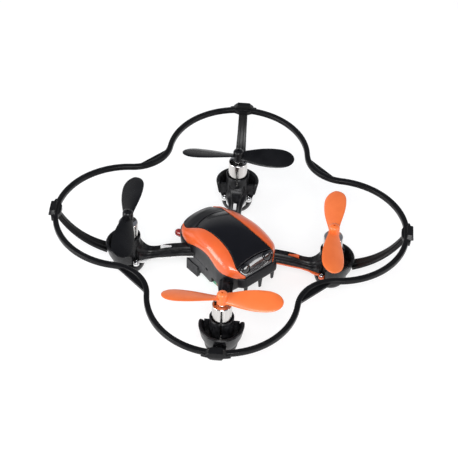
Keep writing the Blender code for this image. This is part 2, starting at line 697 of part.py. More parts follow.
def edge_across(edge, station):
    """Where the cross line at a station meets an edge that is given as a function of y."""
    across = edge(station)
    for _ in range(6):
        across = 0.5 * (across + edge(bowed(station, across)))
    return across


def canopy_patch(name, stations, low, high, columns, material, top=0.0, bottom=PANEL_THICKNESS, crowd=1.0):
    """A curved plate of the canopy between two edges, which are functions of y.

    A crowd over 1 sets the columns closer together towards the high edge.
    """
    rows = len(stations)
    verts = []
    for drop in (top, bottom):
        for station in stations:
            first = edge_across(low, station)
            last = edge_across(high, station)
            for k in range(columns):
                share = 1 - (1 - k / (columns - 1)) ** crowd
                x = first + (last - first) * share
                y = bowed(station, x)
                verts.append((x, y, canopy_height(x, y) - drop))
    layer = rows * columns
    faces = []
    for i in range(rows - 1):
        for k in range(columns - 1):
            a, b = i * columns + k, i * columns + k + 1
            faces.append((a, b, b + columns, a + columns))
            faces.append((layer + a, layer + a + columns, layer + b + columns, layer + b))
    rim = list(range(columns))
    rim += [i * columns + columns - 1 for i in range(1, rows)]
    rim += [(rows - 1) * columns + k for k in range(columns - 2, -1, -1)]
    rim += [i * columns for i in range(rows - 2, 0, -1)]
    for k, a in enumerate(rim):
        b = rim[(k + 1) % len(rim)]
        faces.append((a, layer + a, layer + b, b))
    return new_object(name, verts, faces, material)


def spaced(start, end, count):
    return [start + (end - start) * k / (count - 1) for k in range(count)]


def outer_edge(y):
    return along(HALF_WIDTH, y)


def panel_edge(y):
    """Side edge of the top panel, the windscreen and the rear panel, which meet the side panels there."""
    return along(TRIM_EDGE, y) - SEAM / 2


def shell_edge(y):
    return along(HALF_WIDTH, y) - 1.7


def make_canopy():
    seam = SEAM / 2
    pieces = []
    top_stations = spaced(SCREEN_END_STATION + seam, REAR_SEAM_STATION - seam, 15)
    pieces.append(canopy_patch("canopy_top_panel", top_stations, lambda y: -panel_edge(y), panel_edge, 9,
                               "gloss_black"))
    rear_stations = [REAR_SEAM_STATION + seam, 10.6, 12.1, 13.5, 14.6, 15.4, 16.0, REAR_END_STATION]
    pieces.append(canopy_patch("canopy_rear_panel", rear_stations, lambda y: -panel_edge(y), panel_edge, 11,
                               "dark_grey"))
    screen_stations = spaced(SCREEN_START_STATION, SCREEN_END_STATION - seam, 7)
    screen = canopy_patch("windscreen", screen_stations, lambda y: -panel_edge(y), panel_edge, 13,
                          "smoked_screen")
    pieces.append(screen)
    under = PANEL_THICKNESS + GAP
    pieces.append(canopy_patch("canopy_shell", spaced(-14.4, 13.8, 13), lambda y: -shell_edge(y), shell_edge, 9,
                               "gloss_black", under, under + 0.9))
    for side, name in ((1, "trim_panel_left"), (-1, "trim_panel_right")):
        def trim_low(y):
            return side * (along(TRIM_EDGE, y) + seam)

        def trim_high(y):
            return side * max(along(HALF_WIDTH, y), along(TRIM_EDGE, y) + seam + NARROWEST_TRIM)

        stations = spaced(TRIM_START_STATION, TRIM_END_STATION, 20)
        pieces.append(canopy_patch(name, stations, trim_low, trim_high, 7, "orange", crowd=1.6))
    for side, name in ((1, "headlight_left"), (-1, "headlight_right")):
        pieces.append(make_headlight(name, side, screen))
    for piece in pieces:
        smooth(piece, 32)


def make_headlight(name, side, screen):
    """Oval lens set into the windscreen."""
    centre = (side * LENS_CENTRE[0], LENS_CENTRE[1])
    level = canopy_height(*centre)
    hole = oval(LENS_HALF_WIDTH + GAP, LENS_HALF_DEPTH + GAP, centre, 18)
    cut(screen, prism("lens_hole", hole, level - 5, level + 5))
    sections = []
    for rise, share in ((-0.8, 1.0), (0.0, 1.0), (0.2, 0.9), (0.35, 0.62), (0.4, 0.25)):
        loop = oval(LENS_HALF_WIDTH * share, LENS_HALF_DEPTH * share, centre, 18)
        sections.append([(x, y, canopy_height(x, y) + rise) for x, y in loop])
    return loft(name, sections, "clear_lens")


def hull_loft(name, stations, grow, floor, lift):
    """The hull below the canopy, with its cross lines bowed and its sides drawn in towards the belly."""
    sections = []
    for station in stations:
        rim_y = bowed(station, outer_edge(station))
        width = along(HALF_WIDTH, rim_y) - 0.1 + grow
        rim = along(EDGE_LEVEL, rim_y) - PANEL_THICKNESS - GAP
        belly = floor(station)
        depth = rim - belly
        bulge = along(BULGE, station)
        half = [(width, rim + lift)] if lift else []
        half += [(width, rim), (width - 0.05 + bulge, rim - 0.1 * depth), (width - 0.2 + bulge, rim - 0.32 * depth),
                 (width - 0.7 + 0.6 * bulge, rim - 0.68 * depth), (width - 1.1 + 0.3 * bulge, rim - 0.9 * depth),
                 (width - BELLY_INSET, belly)]
        across = width - BELLY_INSET
        bottom = [(across * share, belly) for share in (0.6, 0.2, -0.2, -0.6)]
        top = [(width * share, rim + lift) for share in (-0.6, -0.2, 0.2, 0.6)]
        loop = half + bottom + [(-x, z) for x, z in reversed(half)] + top
        sections.append([(x, bowed(station, x), z) for x, z in loop])
    return loft(name, sections, "dark_grey")


def hull_solid(name, grow=0.0, lift=0.0):
    """The hull's outer shape as one solid."""
    stations = spaced(NOSE_STATION - grow, TAIL_STATION + grow, 14)
    return hull_loft(name, stations, grow, lambda station: along(BELLY_LEVEL, station) - grow, lift)


def hull_space():
    """The space inside the hull's walls, over the floor that covers the battery bay."""
    def floor(station):
        if station > BATTERY_FRONT - 3.0:
            return FLOOR_OVER
        return along(BELLY_LEVEL, station) + SHELL_WALL

    stations = spaced(NOSE_STATION + SHELL_WALL, TAIL_STATION - SHELL_WALL, 14)
    return hull_loft("hollow", stations, -SHELL_WALL, floor, 8.0)


def make_lower_shell():
    shell = hull_solid("lower_shell")
    cut(shell, hull_space())
    cut(shell, box("battery_bay", (-BAY_HALF_WIDTH, BATTERY_FRONT - GAP, -1.0), (BAY_HALF_WIDTH, 22.0, FLOOR_UNDER)))
    cut(shell, cross_prism("side_notch", SIDE_NOTCH, 20.0))
    outer = BAY_HALF_WIDTH + SKID_THICKNESS
    for side in (-1, 1):
        low_x, high_x = sorted((side * BAY_HALF_WIDTH, side * outer))
        add(shell, box("skid", (low_x, SKID_SPAN[0], 0.0), (high_x, SKID_SPAN[1], 5.0)))
    strap_reach = BAY_HALF_WIDTH + SKID_THICKNESS / 2
    add(shell, box("strap", (-strap_reach, STRAP_SPAN[0], 0.05), (strap_reach, STRAP_SPAN[1], BATTERY_BOTTOM - GAP)))
    for arm in ARM_ANGLES:
        low, high = grown(ARM_TONGUE, GAP)
        socket = box("socket", (10.5, *low[1:]), (18.0, *high[1:]))
        move_mesh(socket, arm_turn(arm))
        cut(shell, socket)
    for side in (-1, 1):
        cut(shell, tail_light_solid("lamp_hole", side, LAMP_RADIUS + GAP, 4.0))
        cut(shell, side_hole(side))
    smooth(shell)
    return shell


def side_hole(side):
    """Blind screw hole in the hull's side, as a solid to cut away."""
    y, z = SIDE_HOLE
    hole = turned("side_hole", [(0, 9.6), (SIDE_HOLE_RADIUS, 9.6), (SIDE_HOLE_RADIUS, 13.0), (0, 13.0)],
                  "dark_grey", 12)
    move_mesh(hole, Matrix.Translation(Vector((0, y, z)) * MM) @ Matrix.Rotation(math.radians(side * 90), 4, "Y"))
    return hole


def tail_light_solid(name, side, radius, back):
    """A 3 mm lamp pointing back and a little outwards from the hull's rear corner."""
    profile = [(0, -back), (radius, -back), (radius, 0.9), (radius * 0.87, 1.65), (radius * 0.5, 2.2), (0, 2.4)]
    lamp = turned(name, profile, "red_lens", 16)
    tilt = Matrix.Rotation(math.radians(-90), 4, "X")
    turn = Matrix.Rotation(math.radians(-side * LAMP_TURN), 4, "Z")
    x, y, z = LAMP_CENTRE
    move_mesh(lamp, Matrix.Translation(Vector((side * x, y, z)) * MM) @ turn @ tilt)
    return lamp


def bumper_line(count):
    """Plan points and outward normals along the bumper's back, round the hull's nose."""
    places = []
    for share in spaced(-1.0, 1.0, count):
        x = share * BUMPER_REACH
        places.append((x, nose_front(x) - GAP))
    line = []
    for k, (x, y) in enumerate(places):
        ahead = places[min(k + 1, count - 1)]
        behind = places[max(k - 1, 0)]
        length = math.hypot(ahead[0] - behind[0], ahead[1] - behind[1])
        line.append((x, y, (ahead[1] - behind[1]) / length, -(ahead[0] - behind[0]) / length))
    return line


def nose_front(x):
    """y of the hull's outline across the nose: flat in front, and along the sides' outline at the corners."""
    corner = NOSE_STATION
    while along(HALF_WIDTH, corner) < abs(x) + 0.1:
        corner += 0.02
    return corner


def make_nose_bumper():
    """Rounded band round the nose under the windscreen, with three tapered pegs under it."""
    sections = []
    for x, y, out_x, out_y in bumper_line(17):
        fade = math.sqrt(max(0.0, 1 - (abs(x) / (BUMPER_REACH + 0.4)) ** 8))
        sections.append([(x + out * fade * out_x, y + out * fade * out_y, z) for out, z in BUMPER_SECTION])
    bumper = loft("nose_bumper", sections, "dark_grey")
    for x in (-PEG_SPACING, 0.0, PEG_SPACING):
        add(bumper, make_nose_peg(x))
    smooth(bumper)
    return bumper


def make_nose_peg(x):
    """Short tapered peg under the nose."""
    y = nose_front(0.0) - GAP - 0.75 + 0.014 * x * x
    root = [(x - 0.8, y - 0.55), (x + 0.8, y - 0.55), (x + 0.8, y + 0.55), (x - 0.8, y + 0.55)]
    tip = [(x + (px - x) * 0.6, y + (py - y) * 0.6) for px, py in root]
    return loft("peg", [[(px, py, PEG_TIP_LEVEL) for px, py in tip], [(px, py, 11.2) for px, py in root]],
                "dark_grey")


def make_electronics():
    low = BOARD_BOTTOM
    board = box("circuit_board", (-7.4, -6.6, low), (7.4, 9.5, low + 1.0), "board_green")
    chips = (((-3.0, -3.0), (3.0, 3.0), 1.9), ((-6.4, 4.0), (-3.4, 7.0), 1.7),
             ((2.0, 5.0), (6.5, 8.0), 2.3), ((-5.5, -6.0), (4.5, -4.2), 1.5))
    for near, far, rise in chips:
        add(board, box("chip", (*near, low + 0.7), (*far, low + rise)))
    battery = box("battery", (-BATTERY_HALF_WIDTH, BATTERY_FRONT, BATTERY_BOTTOM),
                  (BATTERY_HALF_WIDTH, BATTERY_REAR, BATTERY_TOP), "battery_green")
    bevel = battery.modifiers.new("soft_edges", "BEVEL")
    bevel.width = 1.0 * MM
    bevel.segments = 2
    return board, battery


# ---------------------------------------------------------------- assembly

def build():
    clear_scene()
    make_guard_ring()
    make_lower_shell()
    make_canopy()
    make_nose_bumper()
    make_electronics()
    for side, name in ((1, "tail_light_left"), (-1, "tail_light_right")):
        smooth(tail_light_solid(name, side, LAMP_RADIUS, 2.6))
    for arm in ARM_ANGLES:
        front = arm.startswith("front")
        make_arm(arm)
        make_arm_cover(arm, "orange" if front else "white")
        for side, hand in ((-1, "a"), (1, "b")):
            make_cover_screw("cover_screw_" + arm + "_" + hand, arm, side)
        make_motor(arm)
        spin = 1 if arm in ("front_right", "rear_left") else -1
        make_propeller(arm, "orange" if front else "gloss_black", spin)


build()
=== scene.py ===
import json
import math

import bmesh
import bpy
from mathutils import Matrix, Vector


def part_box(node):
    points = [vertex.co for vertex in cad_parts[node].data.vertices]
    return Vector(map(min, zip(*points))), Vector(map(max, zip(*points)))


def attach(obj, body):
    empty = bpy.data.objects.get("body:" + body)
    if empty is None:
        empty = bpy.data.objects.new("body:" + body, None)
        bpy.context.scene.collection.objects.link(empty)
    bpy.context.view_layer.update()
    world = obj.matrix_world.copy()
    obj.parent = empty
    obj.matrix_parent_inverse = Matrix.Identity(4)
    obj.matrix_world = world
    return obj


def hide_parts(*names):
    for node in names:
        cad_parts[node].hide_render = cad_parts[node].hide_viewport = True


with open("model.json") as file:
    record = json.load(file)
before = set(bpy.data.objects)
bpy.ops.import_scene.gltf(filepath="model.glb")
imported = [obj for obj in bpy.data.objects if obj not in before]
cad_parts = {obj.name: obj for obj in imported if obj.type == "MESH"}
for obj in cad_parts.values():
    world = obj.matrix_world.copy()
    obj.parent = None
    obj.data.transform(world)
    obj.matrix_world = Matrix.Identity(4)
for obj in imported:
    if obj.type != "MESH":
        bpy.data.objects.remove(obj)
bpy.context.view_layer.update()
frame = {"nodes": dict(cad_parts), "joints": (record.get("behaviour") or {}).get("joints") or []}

# Lengths below are millimetres in the row frame: +Z up, the nose along -Y. Meshes are scaled to metres.
MM = 0.001
GAP = 0.3
ARMS = ("front_left", "front_right", "rear_left", "rear_right")
MOTORS = {}
for joint in frame["joints"]:
    if joint["name"].startswith("spin_"):
        MOTORS[joint["name"][5:]] = Vector((joint["pos_m"][0], joint["pos_m"][1], 0.0))
MOTOR_REACH = MOTORS["rear_left"].length / MM


def cad_mm(node):
    """Lowest and highest corner of a CAD node in millimetres."""
    low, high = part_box(node)
    return Vector(low) / MM, Vector(high) / MM


# Motor and propeller
CAN_LOW, CAN_HIGH = (corner.z for corner in cad_mm("motor_can_front_left"))
CAN_RADIUS = 3.5
CAN_WALL = 0.4
BOSS_RISE = 0.25
SHAFT_BORE = 0.7
HUB_RADIUS = 1.95
HUB_LOW, HUB_HIGH = (corner.z for corner in cad_mm("propeller_front_left"))
HUB_SHOULDER = HUB_HIGH - 1.3
PROP_RADIUS = 21.0
BLADE_LEVEL = 25.2
BLADE_ROOT = 1.2  # from the shaft, inside the hub
BLADE_HALF_THICKNESS = 0.35
ROOT_PITCH = 26.0  # degrees at the hub
PITCH_FALL = 12.0
VENT_PLACE = 2.35  # slots in the can's top, from its axis
VENT_HALF_LENGTH = 1.0
VENT_HALF_WIDTH = 0.3

# Pod and arm
SLEEVE_RADIUS = 4.35
SLEEVE_TOP = cad_mm("arm_front_left")[1].z
POD_FLOOR_TOP = 2.7
SLIT_START = 2.5  # from the motor's axis
SLIT_BOTTOM = 9.5
SLIT_HALF_WIDTH = 0.35
SHIELD_RADIUS = 8.05
SHIELD_FOOT_RADIUS = 5.95
SHIELD_FOOT = 4.2
SHIELD_TOP = 13.0
SHIELD_DIP = 0.5  # how much lower its rim is on the outer side
SHIELD_BULGE = 0.45  # how much further out it reaches there
SHIELD_WALL = 1.3
SHIELD_END_ANGLE = 105.0  # half the angle that the shield wraps round the motor
FLAP_BOTTOM = 7.5  # underside of the shield's ends, over the cover's screws
FLAP_WALL = 0.9
CUP_FLOOR = 0.7  # thickness of the floor between the sleeve and the shield
ARM_START = 8.0
ARM_END = 33.6
WINDOW_REACH = 23.3
WINDOW_HALF_LENGTH = 2.35
WINDOW_HALF_WIDTH = 0.9
BLOCK_HALF_LENGTH = 2.0  # block of the cover that shows in the window
BLOCK_HALF_WIDTH = 0.6
BLOCK_TOP = 11.65
COVER_END = 34.5
COVER_THICKNESS = 0.7
COVER_HALF_WIDTH = 2.2
COVER_FLARE = 1.6  # extra half width beside the motor
COVER_SEAT = 6.55  # top of the cover beside the motor
EAR_PLACE = (-3.2, 4.6)  # screw ears, from the motor's axis: outwards and across
EAR_RADIUS = 1.15
EAR_HOLE_RADIUS = 0.62
NOOK_RADIUS = 1.15  # room for a screw's head beside the pod

# Guard
RING_LEVEL = 26.1
RING_WIDTH = 2.0
RING_HEIGHT = 1.9
LOBE_RADIUS = 25.8  # centre line, about each motor's axis
RING_EDGE = MOTOR_REACH + LOBE_RADIUS + RING_WIDTH / 2
WAIST = 42.2  # centre line, from the middle of the craft to the concave stretch
WEB_EDGE = 45.1
WEB_HALF_LENGTH = 7.2
WEB_THICKNESS = 0.9
SPOKE_START = 44.65
SPOKE_HALF_WIDTH = 1.65
TONGUE_HALF_WIDTH = 1.3  # of the spoke's inner end, which fits in the pod
TONGUE_LOW = 8.7
TONGUE_HIGH = 9.7
TAB_REACH = 1.3  # how far the guard's tabs stand out beyond the ring
TAB_TOP = 28.1

# Hull
SHELL_WALL = 1.0
PANEL_THICKNESS = 0.85
BOW_WIDTH = 11.0  # half width over which the hull's cross lines are bowed
SIDE_INSET = 0.1  # how far the hull's sides stand in from the canopy's edge
BELLY_INSET = 1.6  # how far the sides draw in from rim to belly
NOSE_STATION = -15.7
TAIL_STATION = 16.8
SCREEN_START_STATION = -15.9
SCREEN_END_STATION = -13.6
REAR_SEAM_STATION = 9.2
TRIM_START_STATION = -15.9
TRIM_END_STATION = 16.1
SEAM = 0.35  # open width of the seams between outer panels
REAR_END_STATION = 16.4
NARROWEST_TRIM = 0.25  # width of the side panels' pointed ends
FLOOR_UNDER = 7.3  # underside of the hull's floor, over the battery
FLOOR_OVER = 8.3
BATTERY_LOW, BATTERY_HIGH = cad_mm("battery")
BAY_HALF_WIDTH = BATTERY_HIGH.x + GAP
SKID_THICKNESS = 1.3
SKID_SPAN = (6.0, 12.2)  # along the hull
SKID_TOP = 5.0
STRAP_SPAN = (6.6, 11.8)  # band under the battery that joins the skids
STRAP_BOTTOM = 0.05
TAPE_WIDTH = 1.9  # brown band round the battery's front end

# Nose and tail details
BUMPER_REACH = 8.7
PEG_SPACING = 6.3
PEG_HALF_WIDTH = 0.8
PEG_HALF_DEPTH = 0.55
PEG_TAPER = 0.6  # size of its tip over that of its root
PEG_TIP_LEVEL = 6.5
PEG_ROOT_LEVEL = 11.2
LENS_CENTRE = (5.1, -14.3)
LENS_HALF_DEPTH = 0.95
LENS_HALF_WIDTH = 1.75
LENS_SINK = 0.8  # into the windscreen
LENS_RISE = 0.4
LAMP_RADIUS = 1.5
LAMP_RIM = 0.7
LAMP_DOME = 1.7
LAMP_CENTRE = (8.0, 18.4, 11.6)
LAMP_TURN = 20.0  # degrees outwards from straight back
SIDE_HOLE = (0.5, 8.5)  # screw hole in each side of the hull: (y, z)
SIDE_HOLE_RADIUS = 0.7
SIDE_HOLE_FLOOR = 9.6
GROOVE_DEPTH = 0.7
GROOVE_HALF_WIDTH = 0.12
GROOVE_SLOPE = 0.12

# Profiles of the hull along its length, as (y, value)
HALF_WIDTH = [
    (-18, 4.6), (-16, 6.5), (-15.1, 7.7), (-14.1, 8.9), (-13, 10.2), (-11.5, 11.3), (-9, 11.95), (-7, 12.1),
    (-4, 11.85), (-1, 11.5), (3, 11.2), (9, 11.0), (12.8, 10.6), (15, 10.1), (16.4, 9.3), (17.5, 7.9),
    (18.3, 7.1), (20, 6.9)
]
EDGE_LEVEL = [
    (-18, 14.3), (-16, 14.5), (-14.1, 14.7), (-12.5, 15.6), (-9, 15.8), (-7, 16.25), (-5, 17.0),
    (-3, 17.75), (0, 18.15), (3, 17.8), (7, 16.65), (9, 15.8), (11, 14.95), (12.8, 14.95), (15, 15.6),
    (17.7, 16.4), (20, 15.9)
]
TRIM_EDGE = [
    (-18, 4.2), (-16, 6.1), (-15.1, 7.25), (-14.1, 8.05), (-13, 8.18), (-11, 7.62), (-9, 7.04), (-7, 6.58),
    (-4, 6.22), (1, 5.96), (5, 6.02), (7, 6.2), (9, 6.56), (11, 7.15), (13, 7.8), (14.3, 8.3), (16, 7.9),
    (17.7, 7.0), (20, 6.4)
]
TRIM_LEVEL = [
    (-18, 12.6), (-16, 14.9), (-15.1, 16.1), (-14.1, 17.2), (-13, 17.8), (-11, 19.0), (-9, 20.0),
    (-7, 20.75), (-4, 21.4), (1, 21.8), (5, 21.45), (7, 21.05), (9, 20.4), (11, 19.4), (13, 18.25),
    (14.3, 17.6), (17.7, 16.5), (20, 16.0)
]
MID_LEVEL = [
    (-18, 12.4), (-15.9, 14.8), (-14.4, 16.9), (-12.8, 18.5), (-10.8, 19.9), (-8, 21.2), (-4, 22.15),
    (0, 22.5), (5, 22.1), (9, 21.15), (12.5, 19.9), (15, 19.2), (16.8, 18.6), (18.4, 17.5), (20, 16.2)
]
BELLY_LEVEL = [
    (-18, 10.8), (-15.7, 10.0), (-13.5, 7.5), (-11, 4.6), (-8, 2.2), (-5.5, 1.5), (0, 2.3), (4, 2.6),
    (12, 3.0), (15, 4.7), (18, 7.6), (20, 9.6)
]
BOW = [
    (-17, -0.5), (-15.9, 0.0), (-13.5, 0.9), (-9, 1.3), (-4, 0.4), (0, 0.0), (4, 0.8), (9.2, 3.3), (17, 3.3)
]
BULGE = [(-18, 0.0), (10, 0.0), (12, 0.1), (14, 0.5), (16.4, 0.95), (18.5, 1.0), (20, 1.0)]

# Outline of the notch in the hull's sides in front of the battery, as (y, z)
SIDE_NOTCH = [(-6.6, -1.0), (-6.6, 7.1), (-3.0, 7.1), (-2.4, 6.2), (-2.4, 4.0), (-1.2, 3.0), (1.6, -1.0)]

# The bumper's section, as (distance out from the hull, height)
BUMPER_SECTION = [
    (0.0, 14.1), (0.2, 14.12), (0.42, 14.0), (0.75, 13.4), (0.98, 12.7), (1.15, 12.0), (1.27, 11.4),
    (1.3, 11.0), (1.25, 10.6), (1.1, 10.35), (0.85, 10.22), (0.6, 10.2), (0.0, 10.2)
]

# The hull's side from rim to belly, as (share of the height, inset, share of BULGE)
SIDE_SECTION = [
    (0.04, 0.0, 0.7), (0.1, 0.05, 1.0), (0.2, 0.1, 1.0), (0.32, 0.2, 1.0), (0.5, 0.42, 0.85),
    (0.68, 0.7, 0.6), (0.8, 0.88, 0.45), (0.9, 1.1, 0.3), (0.97, 1.32, 0.1)
]


# ---------------- materials

def new_material(name, colour, roughness, metallic=0.0, **settings):
    """A Principled material. Extra settings go straight onto the shader's sockets."""
    material = bpy.data.materials.new(name)
    material.use_nodes = True
    shader = material.node_tree.nodes["Principled BSDF"]
    shader.inputs["Base Color"].default_value = (*colour, 1.0)
    shader.inputs["Roughness"].default_value = roughness
    shader.inputs["Metallic"].default_value = metallic
    for socket, value in settings.items():
        shader.inputs[socket.replace("_", " ")].default_value = value
    return material, shader


def noise_node(tree, scale, detail, stretch=(1.0, 1.0, 1.0)):
    """Noise over the piece's own coordinates, as features per metre."""
    nodes, links = tree.nodes, tree.links
    place = nodes.new("ShaderNodeTexCoord")
    mapping = nodes.new("ShaderNodeMapping")
    mapping.inputs["Scale"].default_value = stretch
    noise = nodes.new("ShaderNodeTexNoise")
    noise.inputs["Scale"].default_value = scale
    noise.inputs["Detail"].default_value = detail
    links.new(place.outputs["Object"], mapping.inputs["Vector"])
    links.new(mapping.outputs["Vector"], noise.inputs["Vector"])
    return noise.outputs["Fac"]


def ranged(tree, value, low, high, start=0.3, end=0.7):
    """Maps a value from start to end onto low to high, held at both ends."""
    node = tree.nodes.new("ShaderNodeMapRange")
    node.inputs["From Min"].default_value = start
    node.inputs["From Max"].default_value = end
    node.inputs["To Min"].default_value = low
    node.inputs["To Max"].default_value = high
    tree.links.new(value, node.inputs["Value"])
    return node.outputs["Result"]


def mixed(tree, factor, first, second):
    """Colour mix of two colours, or of a colour socket and a colour."""
    node = tree.nodes.new("ShaderNodeMix")
    node.data_type = "RGBA"
    tree.links.new(factor, node.inputs["Factor"])
    for socket, colour in ((node.inputs[6], first), (node.inputs[7], second)):
        if isinstance(colour, tuple):
            socket.default_value = (*colour, 1.0)
        else:
            tree.links.new(colour, socket)
    return node.outputs[2]


def bump(tree, shader, height, strength, distance):
    node = tree.nodes.new("ShaderNodeBump")
    node.inputs["Strength"].default_value = strength
    node.inputs["Distance"].default_value = distance
    tree.links.new(height, node.inputs["Height"])
    tree.links.new(node.outputs["Normal"], shader.inputs["Normal"])


def edge_wear(tree, amount):
    """White on outward edges, broken up by noise."""
    nodes, links = tree.nodes, tree.links
    geometry = nodes.new("ShaderNodeNewGeometry")
    edges = ranged(tree, geometry.outputs["Pointiness"], 0.0, 1.0, 0.52, 0.62)
    broken = ranged(tree, noise_node(tree, 900.0, 4.0), 0.0, amount, 0.42, 0.7)
    product = nodes.new("ShaderNodeMath")
    product.operation = "MULTIPLY"
    links.new(edges, product.inputs[0])
    links.new(broken, product.inputs[1])
    return product.outputs["Value"]


def moulded_plastic(name, dark, light, worn, rough, grain=0.12, coat=0.0, coat_rough=0.05, **settings):
    """Injection-moulded plastic: cloudy colour, uneven polish, fine grain and rubbed edges."""
    middle = tuple(0.5 * (a + b) for a, b in zip(dark, light))
    material, shader = new_material(name, middle, 0.5 * (rough[0] + rough[1]), **settings)
    shader.inputs["Coat Weight"].default_value = coat
    shader.inputs["Coat Roughness"].default_value = coat_rough
    tree = material.node_tree
    cloud = ranged(tree, noise_node(tree, 160.0, 5.0), 0.0, 1.0)
    colour = mixed(tree, cloud, dark, light)
    colour = mixed(tree, edge_wear(tree, 0.55), colour, worn)
    tree.links.new(colour, shader.inputs["Base Color"])
    polish = ranged(tree, noise_node(tree, 420.0, 6.0, (1.0, 1.0, 0.4)), rough[0], rough[1])
    tree.links.new(polish, shader.inputs["Roughness"])
    bump(tree, shader, noise_node(tree, 5200.0, 3.0), grain, 0.00004)
    return material


def polished_metal(name, dark, light, rough, stretch, **settings):
    """Drawn metal with fine lines along its height or round it."""
    material, shader = new_material(name, light, rough[0], 1.0, **settings)
    tree = material.node_tree
    lines = noise_node(tree, 2600.0, 4.0, stretch)
    tree.links.new(mixed(tree, ranged(tree, lines, 0.0, 1.0), dark, light), shader.inputs["Base Color"])
    tree.links.new(ranged(tree, noise_node(tree, 300.0, 5.0), *rough), shader.inputs["Roughness"])
    bump(tree, shader, lines, 0.06, 0.00002)
    return material


MATERIALS = {
    "gloss_black": moulded_plastic(
        "canopy gloss black", (0.0025, 0.0025, 0.004), (0.0045, 0.0045, 0.0065), (0.03, 0.03, 0.035),
        (0.2, 0.26), 0.02, 0.3, 0.04, Specular_IOR_Level=0.22),
    "lens_black": moulded_plastic(
        "headlight black", (0.003, 0.003, 0.0035), (0.006, 0.006, 0.007), (0.03, 0.03, 0.035), (0.06, 0.1),
        0.01, 1.0, 0.02),
    "satin_black": moulded_plastic(
        "moulded black", (0.0025, 0.0025, 0.003), (0.0055, 0.0055, 0.006), (0.03, 0.03, 0.034),
        (0.26, 0.36), 0.1, Specular_IOR_Level=0.2),
    "prop_black": moulded_plastic(
        "propeller black", (0.003, 0.003, 0.0035), (0.007, 0.007, 0.008), (0.04, 0.04, 0.045), (0.2, 0.3),
        0.05, Specular_IOR_Level=0.25),
    "dark_grey": moulded_plastic(
        "moulded dark grey", (0.004, 0.004, 0.0055), (0.0075, 0.0075, 0.0095), (0.05, 0.05, 0.055),
        (0.3, 0.42), 0.12, Specular_IOR_Level=0.25),
    "orange": moulded_plastic(
        "gloss orange", (0.66, 0.095, 0.018), (0.74, 0.12, 0.024), (0.86, 0.28, 0.13), (0.28, 0.36), 0.03,
        0.6, 0.04),
    "prop_orange": moulded_plastic(
        "propeller orange", (0.78, 0.15, 0.03), (0.86, 0.185, 0.042), (0.95, 0.4, 0.2), (0.3, 0.4), 0.05,
        0.15, 0.12),
    "white": moulded_plastic(
        "moulded white", (0.78, 0.78, 0.77), (0.84, 0.84, 0.84), (0.6, 0.6, 0.58), (0.34, 0.46), 0.1),
    "board_green": moulded_plastic(
        "solder mask", (0.004, 0.07, 0.03), (0.01, 0.11, 0.045), (0.3, 0.26, 0.12), (0.26, 0.4), 0.15),
    "smoked_screen": moulded_plastic(
        "smoked screen", (0.02, 0.02, 0.022), (0.035, 0.035, 0.038), (0.12, 0.12, 0.13), (0.14, 0.2), 0.01,
        1.0, 0.02),
    "red_lens": moulded_plastic(
        "red lens", (0.36, 0.012, 0.01), (0.48, 0.02, 0.016), (0.6, 0.1, 0.08), (0.08, 0.14), 0.02, 1.0,
        0.02, Transmission_Weight=0.35),
    "motor_steel": polished_metal(
        "polished motor can", (0.6, 0.58, 0.56), (0.76, 0.74, 0.72), (0.1, 0.2), (1.0, 1.0, 0.05)),
    "copper": polished_metal(
        "winding copper", (0.42, 0.16, 0.06), (0.68, 0.32, 0.14), (0.25, 0.4), (0.1, 0.1, 1.0)),
    "screw_steel": polished_metal(
        "plated screw", (0.5, 0.5, 0.51), (0.78, 0.78, 0.79), (0.18, 0.3), (1.0, 1.0, 1.0)),
}


# ---------------- mesh helpers

def is_flat(face):
    corners = [vert.co for vert in face.verts]
    return all(abs((corner - corners[0]).dot(face.normal)) < 1e-7 for corner in corners)


def split_bent(shape, corners):
    """Triangulates the faces with at least this many corners that aren't flat."""
    bent = [face for face in shape.faces if len(face.verts) >= corners and not is_flat(face)]
    bmesh.ops.triangulate(shape, faces=bent)


def new_object(name, verts, faces, material="satin_black"):
    """A mesh object from points in millimetres, with its normals turned outwards."""
    mesh = bpy.data.meshes.new(name)
    mesh.from_pydata([Vector(v) * MM for v in verts], [], faces)
    shape = bmesh.new()
    shape.from_mesh(mesh)
    bmesh.ops.remove_doubles(shape, verts=shape.verts, dist=1e-7)
    split_bent(shape, 5)
    bmesh.ops.recalc_face_normals(shape, faces=shape.faces)
    shape.to_mesh(mesh)
    shape.free()
    mesh.materials.append(MATERIALS[material])
    obj = bpy.data.objects.new(name, mesh)
    bpy.context.scene.collection.objects.link(obj)
    return obj


def combine(target, tool, operation):
    """Adds tool to target ("UNION") or cuts it away ("DIFFERENCE"). The target keeps its own material."""
    for obj in (target, tool):
        shape = bmesh.new()
        shape.from_mesh(obj.data)
        split_bent(shape, 4)
        shape.to_mesh(obj.data)
        shape.free()
    modifier = target.modifiers.new(operation.lower(), "BOOLEAN")
    modifier.operation = operation
    modifier.solver = "EXACT"
    modifier.object = tool
    bpy.context.view_layer.update()
    graph = bpy.context.evaluated_depsgraph_get()
    mesh = bpy.data.meshes.new_from_object(target.evaluated_get(graph))
    target.modifiers.clear()
    old = target.data
    material = old.materials[0]
    target.data = mesh
    bpy.data.meshes.remove(old)
    bpy.data.objects.remove(tool, do_unlink=True)
    mesh.materials.clear()
    mesh.materials.append(material)
    for face in mesh.polygons:
        face.material_index = 0


def add(target, tool):
    combine(target, tool, "UNION")


def cut(target, tool):
    combine(target, tool, "DIFFERENCE")


def soften(obj, width=0.15, angle=35.0, segments=2):
    """Smooth shading, with a small round on each sharp edge."""
    obj.data.shade_smooth()
    bevel = obj.modifiers.new("soft_edges", "BEVEL")
    bevel.width = width * MM
    bevel.segments = segments
    bevel.limit_method = "ANGLE"
    bevel.angle_limit = math.radians(angle)
    bevel.harden_normals = True
    bevel.miter_outer = "MITER_ARC"


